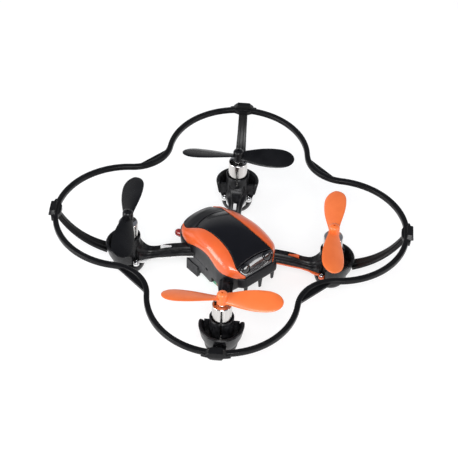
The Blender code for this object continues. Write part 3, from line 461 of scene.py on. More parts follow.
def finished(obj, node, body="airframe"):
    """Puts a piece on its body, in place of the CAD node that it stands for."""
    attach(obj, body)
    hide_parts(node)


def loft(name, sections, material="satin_black", ring=False):
    """Joins equal closed loops of points one after another. It closes both ends, or joins them in a ring."""
    count = len(sections[0])
    total = len(sections)
    verts = [point for section in sections for point in section]
    faces = []
    for k in range(total if ring else total - 1):
        n = (k + 1) % total
        for i in range(count):
            j = (i + 1) % count
            faces.append((k * count + i, k * count + j, n * count + j, n * count + i))
    if not ring:
        faces.append(tuple(range(count)))
        faces.append(tuple((total - 1) * count + i for i in range(count)))
    return new_object(name, verts, faces, material)


def turned(name, profile, material="satin_black", segments=64, closed_profile=False):
    """Turns a profile of (radius, height) about Z. An open profile starts and ends on the axis."""
    verts = []
    rings = []
    for radius, height in profile:
        if radius == 0:
            rings.append([len(verts)])
            verts.append((0, 0, height))
            continue
        ring = []
        for k in range(segments):
            angle = 2 * math.pi * k / segments
            ring.append(len(verts))
            verts.append((radius * math.cos(angle), radius * math.sin(angle), height))
        rings.append(ring)
    pairs = list(zip(rings[:-1], rings[1:]))
    if closed_profile:
        pairs.append((rings[-1], rings[0]))
    faces = []
    for first, second in pairs:
        for k in range(segments):
            n = (k + 1) % segments
            corners = [first[k % len(first)], first[n % len(first)]]
            corners += [second[n % len(second)], second[k % len(second)]]
            faces.append(tuple(dict.fromkeys(corners)))
    return new_object(name, verts, faces, material)


def box(name, low, high, material="satin_black"):
    corners = [(x, y, z) for z in (low[2], high[2]) for x, y in
            ((low[0], low[1]), (high[0], low[1]), (high[0], high[1]), (low[0], high[1]))]
    return loft(name, [corners[:4], corners[4:]], material)


def prism(name, outline, bottom, top, material="satin_black"):
    """Extrudes a plan outline of (x, y) points between two heights."""
    return loft(name, [[(x, y, z) for x, y in outline] for z in (bottom, top)], material)


def circle(radius, count=48, centre=(0.0, 0.0)):
    return oval(radius, radius, centre, count)


def oval(half_width, half_depth, centre, count=48):
    angles = [2 * math.pi * k / count for k in range(count)]
    return [(centre[0] + half_width * math.cos(a), centre[1] + half_depth * math.sin(a)) for a in angles]


def rounded_outline(corners, radius, steps=5):
    """A polygon's corners rounded off, as points."""
    points = []
    for k, corner in enumerate(corners):
        here = Vector(corner)
        before = (Vector(corners[k - 1]) - here).normalized()
        after = (Vector(corners[(k + 1) % len(corners)]) - here).normalized()
        half = before.angle(after) / 2
        setback = radius / math.tan(half)
        centre = here + (before + after).normalized() * radius / math.sin(half)
        start = here + before * setback - centre
        end = here + after * setback - centre
        for i in range(steps + 1):
            t = i / steps
            spoke = start.lerp(end, t)
            points.append(tuple(centre + spoke.normalized() * radius))
    return points


def rounded_rectangle(low, high, radius, steps=5):
    return rounded_outline([low, (high[0], low[1]), high, (low[0], high[1])], radius, steps)


def arc(centre, half_width, half_height, start, end, count):
    """Points along an ellipse between two angles in degrees."""
    angles = [math.radians(angle) for angle in spaced(start, end, count)]
    return [(centre[0] + half_width * math.cos(a), centre[1] + half_height * math.sin(a)) for a in angles]


def along(profile, station):
    """Smooth value of a profile at a station: a cubic through its points."""
    count = len(profile)
    k = 0
    while k < count - 2 and profile[k + 1][0] < station:
        k += 1
    width = profile[k + 1][0] - profile[k][0]
    t = min(max((station - profile[k][0]) / width, 0.0), 1.0)

    def slope(i):
        """Slope of the parabola through a point and its neighbours."""
        if i == 0 or i == count - 1:
            a, b = (0, 1) if i == 0 else (count - 2, count - 1)
            return (profile[b][1] - profile[a][1]) / (profile[b][0] - profile[a][0])
        before = profile[i][0] - profile[i - 1][0]
        after = profile[i + 1][0] - profile[i][0]
        first = (profile[i][1] - profile[i - 1][1]) / before
        second = (profile[i + 1][1] - profile[i][1]) / after
        return (first * after + second * before) / (before + after)

    value = profile[k][1] * (1 + 2 * t) * (1 - t) ** 2 + slope(k) * width * t * (1 - t) ** 2
    return value + profile[k + 1][1] * t * t * (3 - 2 * t) - slope(k + 1) * width * t * t * (1 - t)


def spaced(start, end, count):
    return [start + (end - start) * k / (count - 1) for k in range(count)]


def move_mesh(obj, matrix):
    obj.data.transform(matrix)


def motor_place(arm):
    """Turns a mesh made about the motor's axis, with +X outwards, to its place on the craft."""
    centre = MOTORS[arm]
    return Matrix.Translation(centre) @ Matrix.Rotation(math.atan2(centre.y, centre.x), 4, "Z")


# ---------------- propeller guard

def waist_arc():
    """Radius of the guard's concave arcs, and half the angle that each spans."""
    side = MOTOR_REACH / math.sqrt(2)
    rise = WAIST - side
    radius = (rise ** 2 + side ** 2 - LOBE_RADIUS ** 2) / (2 * (LOBE_RADIUS - rise))
    return radius, math.atan2(side, rise + radius)


def ring_centre_line(waist_steps=20, lobe_steps=64):
    """Points and outward normals along the guard: a lobe about each motor, joined by concave arcs."""
    side = MOTOR_REACH / math.sqrt(2)
    radius, span = waist_arc()
    points = []
    for k in range(waist_steps):
        angle = span * (2 * k / waist_steps - 1)
        c, s = math.cos(angle), math.sin(angle)
        points.append((WAIST + radius - radius * c, radius * s, c, -s))
    for k in range(lobe_steps):
        angle = -span + (math.pi / 2 + 2 * span) * k / lobe_steps
        c, s = math.cos(angle), math.sin(angle)
        points.append((side + LOBE_RADIUS * c, side + LOBE_RADIUS * s, c, s))
    line = []
    for quarter in range(4):
        c, s = math.cos(quarter * math.pi / 2), math.sin(quarter * math.pi / 2)
        line += [(c * x - s * y, s * x + c * y, c * nx - s * ny, s * nx + c * ny) for x, y, nx, ny in points]
    return line


def web_outline():
    radius, _ = waist_arc()
    reach = math.asin(WEB_HALF_LENGTH / radius)
    inner = []
    for k in range(25):
        angle = reach * (1 - 2 * k / 24)
        inner.append((WAIST + radius - radius * math.cos(angle), radius * math.sin(angle)))
    return [(WEB_EDGE, -WEB_HALF_LENGTH), (WEB_EDGE, WEB_HALF_LENGTH)] + inner


def make_tab(low, high):
    """Thick part of the ring where a spoke meets it, with fillets into the spoke."""
    half = [(RING_EDGE + 0.5, 3.1), (RING_EDGE + 0.05, 5.0), (RING_EDGE - 1.3, 5.0), (RING_EDGE - 2.9, 1.6)]
    outline = rounded_outline([(x, -y) for x, y in half] + [(x, y) for x, y in reversed(half)], 0.3, 3)
    return prism("tab", outline, low + 0.1, high - 0.2)


def make_tab_plate(low, high):
    """Upright plate on a tab, narrower at its top and bottom."""
    edge = RING_EDGE
    outside = edge + TAB_REACH
    sections = []
    for z, half, inner, outer in ((low - 0.2, 2.0, edge - 0.5, outside - 0.3),
            (low + 0.8, 2.8, edge - 1.3, outside),
            (high - 0.3, 3.75, edge - 1.3, outside),
            (TAB_TOP, 2.4, edge - 0.9, outside - 0.2)):
        corners = [(outer, -half), (outer, half), (inner, half), (inner, -half)]
        sections.append([(x, y, z) for x, y in rounded_outline(corners, 0.35, 3)])
    return loft("tab_plate", sections)


def make_spoke():
    """Ribbed strip from the pod up to the ring."""
    start = Vector((SPOKE_START, 9.2))
    bend = Vector((56.6, 12.9))
    end = Vector((MOTOR_REACH + LOBE_RADIUS - 0.3, RING_LEVEL - 0.6))
    count = 33
    line = [start * (1 - t) ** 2 + bend * 2 * t * (1 - t) + end * t * t for t in spaced(0.0, 1.0, count)]
    sections = []
    for k, point in enumerate(line):
        slope = (line[min(k + 1, count - 1)] - line[max(k - 1, 0)]).angle_signed(Vector((1, 0)))
        half = SPOKE_HALF_WIDTH + 0.8 * (1 - k / (count - 1)) ** 2
        profile = [(0.25 - half, -0.75), (half - 0.25, -0.75), (half, -0.5), (half, 0.2), (half - 0.25, 0.42),
                (0.75, 0.45), (0.5, 0.8), (-0.5, 0.8), (-0.75, 0.45), (0.25 - half, 0.42), (-half, 0.2),
                (-half, -0.5)]
        sections.append([(point.x - up * math.sin(slope), side, point.y + up * math.cos(slope))
                for side, up in profile])
    spoke = loft("spoke", sections)
    add(spoke, box("tongue", (SPOKE_START - 2.0, -TONGUE_HALF_WIDTH, TONGUE_LOW),
            (SPOKE_START + 0.8, TONGUE_HALF_WIDTH, TONGUE_HIGH)))
    return spoke


def make_guard():
    half = RING_WIDTH / 2
    low = RING_LEVEL - RING_HEIGHT / 2
    high = RING_LEVEL + RING_HEIGHT / 2
    section = rounded_rectangle((-half, low), (half, high), 0.42, 3)
    loops = []
    for x, y, nx, ny in ring_centre_line():
        loops.append([(x + nx * out, y + ny * out, z) for out, z in section])
    guard = loft("guard", loops, ring=True)
    for quarter in range(4):
        turn = Matrix.Rotation(quarter * math.pi / 2, 4, "Z")
        diagonal = turn @ Matrix.Rotation(math.pi / 4, 4, "Z")
        web = prism("web", web_outline(), low + 0.1, low + 0.1 + WEB_THICKNESS)
        move_mesh(web, turn)
        add(guard, web)
        for piece in (make_tab(low, high), make_tab_plate(low, high), make_spoke()):
            move_mesh(piece, diagonal)
            add(guard, piece)
    soften(guard, 0.1, 38.0)
    finished(guard, "guard_ring")


# ---------------- arms, pods and their covers

# The arm's beam, as (distance from the craft's middle, half width, bottom, ledge, rail half width, top)
ARM_SECTIONS = [
    (8.0, 2.5, 10.2, 12.1, 1.45, 13.6),
    (18.2, 2.5, 9.4, 11.2, 1.45, 12.8),
    (23.2, 2.5, 8.4, 10.2, 1.45, 11.8),
    (27.0, 2.6, 7.7, 9.2, 1.5, 10.4),
    (30.0, 3.0, 7.2, 8.8, 1.8, 10.2),
    (32.2, 3.8, 7.0, 9.6, 2.4, 11.6),
    (33.6, 4.2, 6.9, 11.2, 3.0, 13.4),
]


def arm_value(reach, column):
    """A column of ARM_SECTIONS at a distance from the craft's middle."""
    return along([(row[0], row[column]) for row in ARM_SECTIONS], reach)


def make_shield():
    """Flared wall round the outer half of the pod, its rounded ends joined to the motor's sleeve."""
    steps = 56
    sections = []
    for k in range(steps + 1):
        fraction = -1 + 2 * k / steps
        angle = math.radians(SHIELD_END_ANGLE) * fraction
        c, s = math.cos(angle), math.sin(angle)
        corner = max(0.0, abs(fraction) - 0.86) / 0.14
        top = SHIELD_TOP - SHIELD_DIP * max(0.0, c) - 0.9 * (1 - math.sqrt(max(0.0, 1 - corner ** 2)))
        height = top - SHIELD_FOOT
        reach = SHIELD_RADIUS + SHIELD_BULGE * max(0.0, c)
        spread = (reach - SHIELD_FOOT_RADIUS) * height / (SHIELD_TOP - SHIELD_FOOT)
        outer = SHIELD_FOOT_RADIUS + spread
        middle = SHIELD_FOOT_RADIUS + 0.62 * spread
        waist = SHIELD_FOOT + 0.5 * height
        profile = [(outer, top - 0.35), (outer - 0.35, top), (outer - SHIELD_WALL + 0.3, top),
                (outer - SHIELD_WALL, top - 0.3), (middle - SHIELD_WALL, waist),
                (4.6, 3.9), (4.5, 3.4), (5.6, 3.4), (5.8, 4.4), (middle + 0.1, waist)]
        sections.append([(r * c, r * s, z) for r, z in profile])
    shield = loft("shield", sections)
    end_x = SHIELD_RADIUS * math.cos(math.radians(SHIELD_END_ANGLE))
    for side in (-1, 1):
        near_y, far_y = sorted((side * (SLEEVE_RADIUS - 0.8), side * 6.2))
        add(shield, box("flap", (end_x + 0.08, near_y, FLAP_BOTTOM),
                (end_x + FLAP_WALL, far_y, SHIELD_TOP - 0.6)))
    inside = SLEEVE_RADIUS - 0.3
    floor_top = FLAP_BOTTOM + CUP_FLOOR
    floor = turned("cup_floor", [(inside, FLAP_BOTTOM - 0.05), (6.1, FLAP_BOTTOM - 0.05), (6.1, floor_top),
            (inside, floor_top)], closed_profile=True)
    cut(floor, box("floor_cutter", (-9.0, -9.0, 0.0), (end_x + 0.4, 9.0, 15.0)))
    add(shield, floor)
    cut(shield, box("flap_clearance", (-9.0, -9.0, 0.0), (-0.2, 9.0, FLAP_BOTTOM)))
    return shield


def make_arm(arm):
    """Beam with the motor's pod on its end: a bowl, a sleeve and a shield."""
    shift = -MOTOR_REACH
    sections = []
    for reach in spaced(ARM_START, ARM_END, 33):
        base, bottom, ledge, rail, top = (arm_value(reach, column) for column in range(1, 6))
        half = [(base - 0.2, bottom), (base, bottom + 0.2), (base, ledge - 0.5), (base - 0.25, ledge - 0.25),
                (rail + 0.25, ledge - 0.1), (rail, ledge + 0.15), (rail, top - 0.35), (rail - 0.35, top)]
        loop = half + [(-y, z) for y, z in reversed(half)]
        sections.append([(reach + shift, y, z) for y, z in loop])
    piece = loft("arm_beam_" + arm, sections)
    bowl = arc((2.9, 4.0), 3.0, 4.0, -90, 0, 13)
    add(piece, turned("bowl", [(0, 0.0)] + bowl + [(5.9, 4.6), (0, 4.6)]))
    sleeve = [(0, 4.0), (SLEEVE_RADIUS, 4.0), (SLEEVE_RADIUS, SLEEVE_TOP - 0.25),
            (SLEEVE_RADIUS - 0.25, SLEEVE_TOP), (0, SLEEVE_TOP)]
    add(piece, turned("sleeve", sleeve))
    add(piece, make_shield())
    bore = CAN_RADIUS + GAP
    cut(piece, turned("bore", [(0, POD_FLOOR_TOP), (bore, POD_FLOOR_TOP), (bore, 20.0), (0, 20.0)]))
    slit_reach = SLEEVE_RADIUS + 0.6
    cut(piece, box("outer_slit", (SLIT_START, -SLIT_HALF_WIDTH, SLIT_BOTTOM),
            (slit_reach, SLIT_HALF_WIDTH, 20.0)))
    cut(piece, box("inner_slit", (-slit_reach, -SLIT_HALF_WIDTH, SHIELD_TOP + 0.7),
            (-SLIT_START, SLIT_HALF_WIDTH, 20.0)))
    for side in (-1, 1):
        nook = circle(NOOK_RADIUS, 32, (EAR_PLACE[0], side * EAR_PLACE[1]))
        cut(piece, prism("screw_nook", nook, COVER_SEAT + GAP, 15.0))
    cut(piece, box("spoke_pocket", (5.0, -TONGUE_HALF_WIDTH - GAP, TONGUE_LOW - GAP),
            (8.6, TONGUE_HALF_WIDTH + GAP, TONGUE_HIGH + GAP)))
    middle = WINDOW_REACH + shift
    window = rounded_rectangle((middle - WINDOW_HALF_LENGTH, -WINDOW_HALF_WIDTH),
            (middle + WINDOW_HALF_LENGTH, WINDOW_HALF_WIDTH), 0.5)
    cut(piece, prism("window", window, 5.0, 15.0))
    move_mesh(piece, motor_place(arm))
    cut(piece, hull_solid("hull_clearance", GAP, 3.0))
    soften(piece, 0.12, 35.0)
    finished(piece, "arm_" + arm)


def make_arm_cover(arm, colour):
    """Strip under an arm, with two screw ears and a block that shows in the arm's window."""
    shift = -MOTOR_REACH
    sections = []
    for reach in spaced(ARM_START, COVER_END, 40):
        flare = min(max((reach - 28.4) / 3.4, 0.0), 1.0)
        half = COVER_HALF_WIDTH + COVER_FLARE * flare * flare * (3 - 2 * flare)
        top = arm_value(min(reach, ARM_END), 2) - GAP
        blend = min(max((reach - 26.5) / 3.0, 0.0), 1.0)
        top = top + (COVER_SEAT - top) * blend
        loop = rounded_rectangle((-half, top - COVER_THICKNESS), (half, top), 0.18, 2)
        sections.append([(reach + shift, y, z) for y, z in loop])
    cover = loft("arm_insert_" + arm, sections, colour)
    ears = [(EAR_PLACE[0], side * EAR_PLACE[1]) for side in (-1, 1)]
    for place in ears:
        ear = circle(EAR_RADIUS, 32, place)
        add(cover, prism("ear", ear, COVER_SEAT - COVER_THICKNESS, COVER_SEAT))
    cut(cover, prism("sleeve_clearance", circle(SLEEVE_RADIUS + GAP, 64), 0, 12))
    for place in ears:
        cut(cover, prism("hole", circle(EAR_HOLE_RADIUS, 24, place), 0, 12))
    middle = WINDOW_REACH + shift
    block = rounded_rectangle((middle - BLOCK_HALF_LENGTH, -BLOCK_HALF_WIDTH),
            (middle + BLOCK_HALF_LENGTH, BLOCK_HALF_WIDTH), 0.3)
    add(cover, prism("window_block", block, 7.6, BLOCK_TOP))
    move_mesh(cover, motor_place(arm))
    cut(cover, hull_solid("hull_clearance", GAP, 3.0))
    soften(cover, 0.08, 35.0)
    finished(cover, "arm_cover_" + arm)


def make_cover_screw(arm, side, hand):
    profile = [(0, 5.2), (0.3, 5.2), (0.3, 6.85), (0.85, 6.85), (0.85, 7.1), (0.68, 7.28), (0.4, 7.35),
            (0, 7.35)]
    screw = turned("ear_screw_" + arm + "_" + hand, profile, "screw_steel", 32)
    for along_x, along_y in ((0.5, 0.1), (0.1, 0.5)):
        cut(screw, box("recess", (-along_x, -along_y, 7.1), (along_x, along_y, 8.0)))
    place = Vector((EAR_PLACE[0], side * EAR_PLACE[1], 0)) * MM
    move_mesh(screw, motor_place(arm) @ Matrix.Translation(place))
    soften(screw, 0.04, 40.0)
    finished(screw, "cover_screw_" + arm + "_" + hand)


# ---------------- motors and propellers

def make_motor(arm):
    inner = CAN_RADIUS - CAN_WALL
    top = CAN_HIGH - BOSS_RISE
    profile = [(CAN_RADIUS - 0.15, CAN_LOW), (CAN_RADIUS, CAN_LOW + 0.15)]
    profile += arc((CAN_RADIUS - 0.4, top - 0.4), 0.4, 0.4, 0, 90, 7)
    profile += [(1.65, top), (1.5, top + 0.05), (1.4, CAN_HIGH - 0.06), (1.3, CAN_HIGH),
            (SHAFT_BORE, CAN_HIGH), (SHAFT_BORE, top - 0.7), (inner, top - 0.7), (inner, CAN_LOW)]
    can = turned("can_" + arm, profile, "motor_steel", 96, True)
    for side in (-1, 1):
        vent = rounded_rectangle((-VENT_HALF_LENGTH, side * VENT_PLACE - VENT_HALF_WIDTH),
                (VENT_HALF_LENGTH, side * VENT_PLACE + VENT_HALF_WIDTH), 0.28)
        cut(can, prism("vent", vent, top - 2.0, top + 1.0))
    move_mesh(can, motor_place(arm))
    soften(can, 0.04, 40.0)
    finished(can, "motor_can_" + arm)


def blade_half_chord(t):
    """Half the blade's width at a fraction t of its length: narrow root, broad paddle, round tip."""
    paddle = 2.1 + 2.05 * math.sin(min(t / 0.62, 1.0) * math.pi / 2) ** 1.2
    if t > 0.66:
        paddle *= math.sqrt(max(0.0, 1 - ((t - 0.66) / 0.34) ** 2.4))
    return max(paddle, 0.12)


def make_propeller(arm, colour, spin):
    """Two pitched blades on a hub. spin is +1 where the propeller turns anticlockwise seen from above."""
    profile = [(SHAFT_BORE, HUB_LOW), (HUB_RADIUS - 0.2, HUB_LOW), (HUB_RADIUS, HUB_LOW + 0.2),
            (HUB_RADIUS, HUB_SHOULDER)]
    profile += arc((0.0, HUB_SHOULDER), HUB_RADIUS, 1.32, 10, 70, 7)
    profile += [(0.5, HUB_HIGH), (0.42, HUB_HIGH - 0.1), (0.42, HUB_HIGH - 0.7), (SHAFT_BORE, HUB_HIGH - 0.8)]
    hub = turned("prop_" + arm, profile, colour, 64, True)
    for turn in (0.0, math.pi):
        sections = []
        for t in spaced(0.0, 1.0, 41):
            fraction = 1 - (1 - t) ** 1.6
            reach = BLADE_ROOT + (PROP_RADIUS - BLADE_ROOT) * fraction
            half = blade_half_chord(fraction)
            pitch = math.radians(ROOT_PITCH - PITCH_FALL * fraction) * spin
            thick = BLADE_HALF_THICKNESS * (1 - 0.35 * fraction)
            camber = 0.32 * half / 3.8
            upper, lower = [], []
            for i in range(11):
                across = -math.cos(math.pi * i / 10)
                bulge = math.sqrt(max(0.0, 1 - across ** 2)) ** 0.8
                arch = camber * (1 - across ** 2)
                upper.append((half * across, arch + thick * bulge))
                lower.append((half * across, arch - thick * bulge))
            loop = upper + lower[-2:0:-1]
            sections.append([(reach, across * math.cos(pitch) - up * math.sin(pitch),
                    BLADE_LEVEL + across * math.sin(pitch) + up * math.cos(pitch))
                    for across, up in loop])
        blade = loft("blade", sections)
        move_mesh(blade, Matrix.Rotation(turn, 4, "Z"))
        add(hub, blade)
    move_mesh(hub, motor_place(arm) @ Matrix.Rotation(math.pi / 2, 4, "Z"))
    soften(hub, 0.12, 42.0)
    finished(hub, "propeller_" + arm, "rotor_" + arm)


# ---------------- hull

def bowed(station, across):
    """y of a cross line of the hull: bent towards the nose or the tail in its middle."""
    return station + along(BOW, station) * (1 - (across / BOW_WIDTH) ** 2)


def canopy_height(across, y):
    """Height of the canopy's outer surface."""
    width = along(HALF_WIDTH, y)
    inner = min(along(TRIM_EDGE, y), width - 0.2)
    side = min(abs(across), width)
    inner_level = along(TRIM_LEVEL, y)
    if side <= inner:
        middle_level = along(MID_LEVEL, y)
        return middle_level + (inner_level - middle_level) * (side / inner) ** 2
    share = (side - inner) / (width - inner)
    edge_level = along(EDGE_LEVEL, y)
    return edge_level + (inner_level - edge_level) * (1 - share ** 1.9) ** (1 / 1.9)


def edge_across(edge, station):
    """Where the cross line at a station meets an edge that is given as a function of y."""
    across = edge(station)
    for _ in range(8):
        across = 0.5 * (across + edge(bowed(station, across)))
    return across


def canopy_patch(name, stations, low, high, columns, material, crowd=1.0):
    """A curved plate of the canopy between two edges, which are functions of y.

    A crowd over 1 sets the columns closer together towards the high edge.
    """
    rows = len(stations)
    verts = []
    for drop in (0.0, PANEL_THICKNESS):
        for station in stations:
            first = edge_across(low, station)
            last = edge_across(high, station)
            for k in range(columns):
                share = 1 - (1 - k / (columns - 1)) ** crowd
                x = first + (last - first) * share
                y = bowed(station, x)
                verts.append((x, y, canopy_height(x, y) - drop))
    layer = rows * columns
    faces = []
    for i in range(rows - 1):
        for k in range(columns - 1):
            a, b = i * columns + k, i * columns + k + 1
            faces.append((a, b, b + columns, a + columns))
            faces.append((layer + a, layer + a + columns, layer + b + columns, layer + b))
    rim = list(range(columns))
    rim += [i * columns + columns - 1 for i in range(1, rows)]
    rim += [(rows - 1) * columns + k for k in range(columns - 2, -1, -1)]
    rim += [i * columns for i in range(rows - 2, 0, -1)]
    for k, a in enumerate(rim):
        b = rim[(k + 1) % len(rim)]
        faces.append((a, layer + a, layer + b, b))
    return new_object(name, verts, faces, material)


def panel_edge(y):
    """Side edge of the top panel, the windscreen and the rear panel, which meet the side panels there."""
    return along(TRIM_EDGE, y) - SEAM / 2


def make_canopy():
    """Three panels along the middle, the headlights in the foremost, and the side panels."""
    seam = SEAM / 2
    pieces = []
    for name, start, end, rows, columns, slot, node in (
            ("roof_panel", SCREEN_END_STATION + seam, REAR_SEAM_STATION - seam, 60, 33,
            "gloss_black", "canopy_top_panel"),
            ("tail_panel", REAR_SEAM_STATION + seam, REAR_END_STATION, 40, 41,
            "dark_grey", "canopy_rear_panel"),
            ("nose_screen", SCREEN_START_STATION, SCREEN_END_STATION - seam, 30, 49,
            "smoked_screen", "windscreen")):
        stations = spaced(start, end, rows)
        panel = canopy_patch(name, stations, lambda y: -panel_edge(y), panel_edge, columns, slot)
        if node == "windscreen":
            for side, light in ((1, "headlight_left"), (-1, "headlight_right")):
                pieces.append((make_headlight("lamp_" + light, side, panel), "clear_lens", light))
        pieces.append((panel, slot, node))
    for side, name in ((1, "trim_panel_left"), (-1, "trim_panel_right")):
        def trim_low(y):
            return side * (along(TRIM_EDGE, y) + seam)

        def trim_high(y):
            return side * max(along(HALF_WIDTH, y), along(TRIM_EDGE, y) + seam + NARROWEST_TRIM)

        stations = spaced(TRIM_START_STATION, TRIM_END_STATION, 90)
        trim = canopy_patch("side_" + name, stations, trim_low, trim_high, 25, "orange", crowd=1.6)
        pieces.append((trim, "orange", name))
    for piece, slot, node in pieces:
        soften(piece, 0.14, 40.0)
        finished(piece, node)


def make_headlight(name, side, screen):
    """Oval lens set into the windscreen, which gets a hole for it."""
    centre = (side * LENS_CENTRE[0], LENS_CENTRE[1])
    level = canopy_height(*centre)
    hole = oval(LENS_HALF_WIDTH + GAP, LENS_HALF_DEPTH + GAP, centre)
    cut(screen, prism("lens_hole", hole, level - 5, level + 5))
    sections = []
    for k in range(8):
        angle = math.radians(11 * k)
        share = math.cos(angle)
        loop = oval(LENS_HALF_WIDTH * share, LENS_HALF_DEPTH * share, centre)
        if k == 0:
            sections.append([(x, y, canopy_height(x, y) - LENS_SINK) for x, y in loop])
        sections.append([(x, y, canopy_height(x, y) + LENS_RISE * math.sin(angle)) for x, y in loop])
    return loft(name, sections, "lens_black")


def hull_loft(name, stations, grow, floor, lift):
    """The hull below the canopy, with its cross lines bowed and its sides drawn in towards the belly."""
    sections = []
    for station in stations:
        rim_y = bowed(station, along(HALF_WIDTH, station))
        width = along(HALF_WIDTH, rim_y) - SIDE_INSET + grow
        rim = along(EDGE_LEVEL, rim_y) - PANEL_THICKNESS - GAP
        belly = floor(station)
        depth = rim - belly
        bulge = along(BULGE, station)
        half = [(width, rim + lift)] if lift else []
        half.append((width, rim))
        for share, inset, bulged in SIDE_SECTION:
            half.append((width - inset + bulged * bulge, rim - share * depth))
        half.append((width - BELLY_INSET, belly))
        across = width - BELLY_INSET
        bottom = [(across * share, belly) for share in spaced(0.8, -0.8, 9)]
        top = [(width * share, rim + lift) for share in spaced(-0.8, 0.8, 9)]
        loop = half + bottom + [(-x, z) for x, z in reversed(half)] + top
        sections.append([(x, bowed(station, x), z) for x, z in loop])
    return loft(name, sections, "dark_grey")


def hull_solid(name, grow=0.0, lift=0.0):
    stations = spaced(NOSE_STATION - grow, TAIL_STATION + grow, 44)
    return hull_loft(name, stations, grow, lambda station: along(BELLY_LEVEL, station) - grow, lift)


def hull_space():
    """The space inside the hull's walls, over the floor that covers the battery bay."""
    def floor(station):
        if station > BATTERY_LOW.y - 3.0:
            return FLOOR_OVER
        return along(BELLY_LEVEL, station) + SHELL_WALL

    stations = spaced(NOSE_STATION + SHELL_WALL, TAIL_STATION - SHELL_WALL, 40)
    return hull_loft("hollow", stations, -SHELL_WALL, floor, 8.0)


def make_hull():
    """Lower shell with its battery bay, skids and strap."""
    shell = hull_solid("hull")
    cut(shell, hull_space())
    cut(shell, box("battery_bay", (-BAY_HALF_WIDTH, BATTERY_LOW.y - GAP, -1.0),
            (BAY_HALF_WIDTH, 22.0, FLOOR_UNDER)))
    cut(shell, loft("side_notch", [[(x, y, z) for y, z in SIDE_NOTCH] for x in (-20.0, 20.0)]))
    outer = BAY_HALF_WIDTH + SKID_THICKNESS
    for side in (-1, 1):
        low_x, high_x = sorted((side * BAY_HALF_WIDTH, side * outer))
        add(shell, box("skid", (low_x, SKID_SPAN[0], 0.0), (high_x, SKID_SPAN[1], SKID_TOP)))
    strap_reach = BAY_HALF_WIDTH + SKID_THICKNESS / 2
    add(shell, box("strap", (-strap_reach, STRAP_SPAN[0], STRAP_BOTTOM),
            (strap_reach, STRAP_SPAN[1], BATTERY_LOW.z - GAP)))
    for side in (-1, 1):
        cut(shell, tail_light_solid("lamp_hole", side, LAMP_RADIUS + GAP, 4.0))
        cut(shell, side_hole(side))
        cut(shell, parting_groove(side))
    soften(shell, 0.14, 38.0)
    finished(shell, "lower_shell")


def side_hole(side):
    """Blind screw hole in the hull's side, as a solid to cut away."""
    y, z = SIDE_HOLE
    hole = turned("side_hole", [(0, SIDE_HOLE_FLOOR), (SIDE_HOLE_RADIUS, SIDE_HOLE_FLOOR),
            (SIDE_HOLE_RADIUS, 13.0), (0, 13.0)], segments=40)
    turn = Matrix.Rotation(math.radians(side * 90), 4, "Y")
    move_mesh(hole, Matrix.Translation(Vector((0, y, z)) * MM) @ turn)
    return hole


def parting_groove(side):
    """Fine groove along the hull's side from the screw hole back to the rear arm, as a solid to cut away."""
    sections = []
    for y in spaced(SIDE_HOLE[0] + 0.9, 9.0, 12):
        inner = along(HALF_WIDTH, y) - SIDE_INSET - GROOVE_DEPTH
        outer = inner + 2.25
        level = SIDE_HOLE[1] + GROOVE_SLOPE * (y - SIDE_HOLE[0])
        low, high = level - GROOVE_HALF_WIDTH, level + GROOVE_HALF_WIDTH
        corners = ((inner, low), (outer, low), (outer, high), (inner, high))
        sections.append([(side * x, y, z) for x, z in corners])
    return loft("groove", sections)


def tail_light_solid(name, side, radius, back):
    """A 3 mm lamp pointing back and a little outwards from the hull's rear corner."""
    profile = [(0, -back), (radius, -back), (radius, LAMP_RIM)]
    profile += arc((0.0, LAMP_RIM), radius, LAMP_DOME, 14, 84, 6)
    lamp = turned(name, profile + [(0, LAMP_RIM + LAMP_DOME)], "red_lens", 48)
    tilt = Matrix.Rotation(math.radians(-90), 4, "X")
    turn = Matrix.Rotation(math.radians(-side * LAMP_TURN), 4, "Z")
    x, y, z = LAMP_CENTRE
    move_mesh(lamp, Matrix.Translation(Vector((side * x, y, z)) * MM) @ turn @ tilt)
    return lamp


def make_tail_lights():
    for side, name in ((1, "left"), (-1, "right")):
        lamp = tail_light_solid("tail_lamp_" + name, side, LAMP_RADIUS, 2.6)
        soften(lamp, 0.05, 60.0)
        finished(lamp, "tail_light_" + name)


def nose_front(x):
    """y of the hull's outline across the nose: flat in front, and along the sides' outline at the corners."""
    corner = NOSE_STATION
    while along(HALF_WIDTH, corner) < abs(x) + 0.1:
        corner += 0.02
    return corner


def bumper_line(count):
    """Plan points and outward normals along the bumper's back, round the hull's nose."""
    places = []
    for share in spaced(-1.0, 1.0, count):
        x = share * BUMPER_REACH
        places.append((x, nose_front(x) - GAP))
    line = []
    for k, (x, y) in enumerate(places):
        ahead = places[min(k + 1, count - 1)]
        behind = places[max(k - 1, 0)]
        length = math.hypot(ahead[0] - behind[0], ahead[1] - behind[1])
        line.append((x, y, (ahead[1] - behind[1]) / length, -(ahead[0] - behind[0]) / length))
    return line


def make_nose_bumper():
    """Rounded band round the nose under the windscreen, with three tapered pegs under it."""
    sections = []
    for x, y, out_x, out_y in bumper_line(65):
        fade = math.sqrt(max(0.0, 1 - (abs(x) / (BUMPER_REACH + 0.4)) ** 8))
        sections.append([(x + out * fade * out_x, y + out * fade * out_y, z) for out, z in BUMPER_SECTION])
    bumper = loft("nose_guard", sections, "dark_grey")
    for x in (-PEG_SPACING, 0.0, PEG_SPACING):
        add(bumper, make_nose_peg(x))
    soften(bumper, 0.14, 40.0)
    finished(bumper, "nose_bumper")


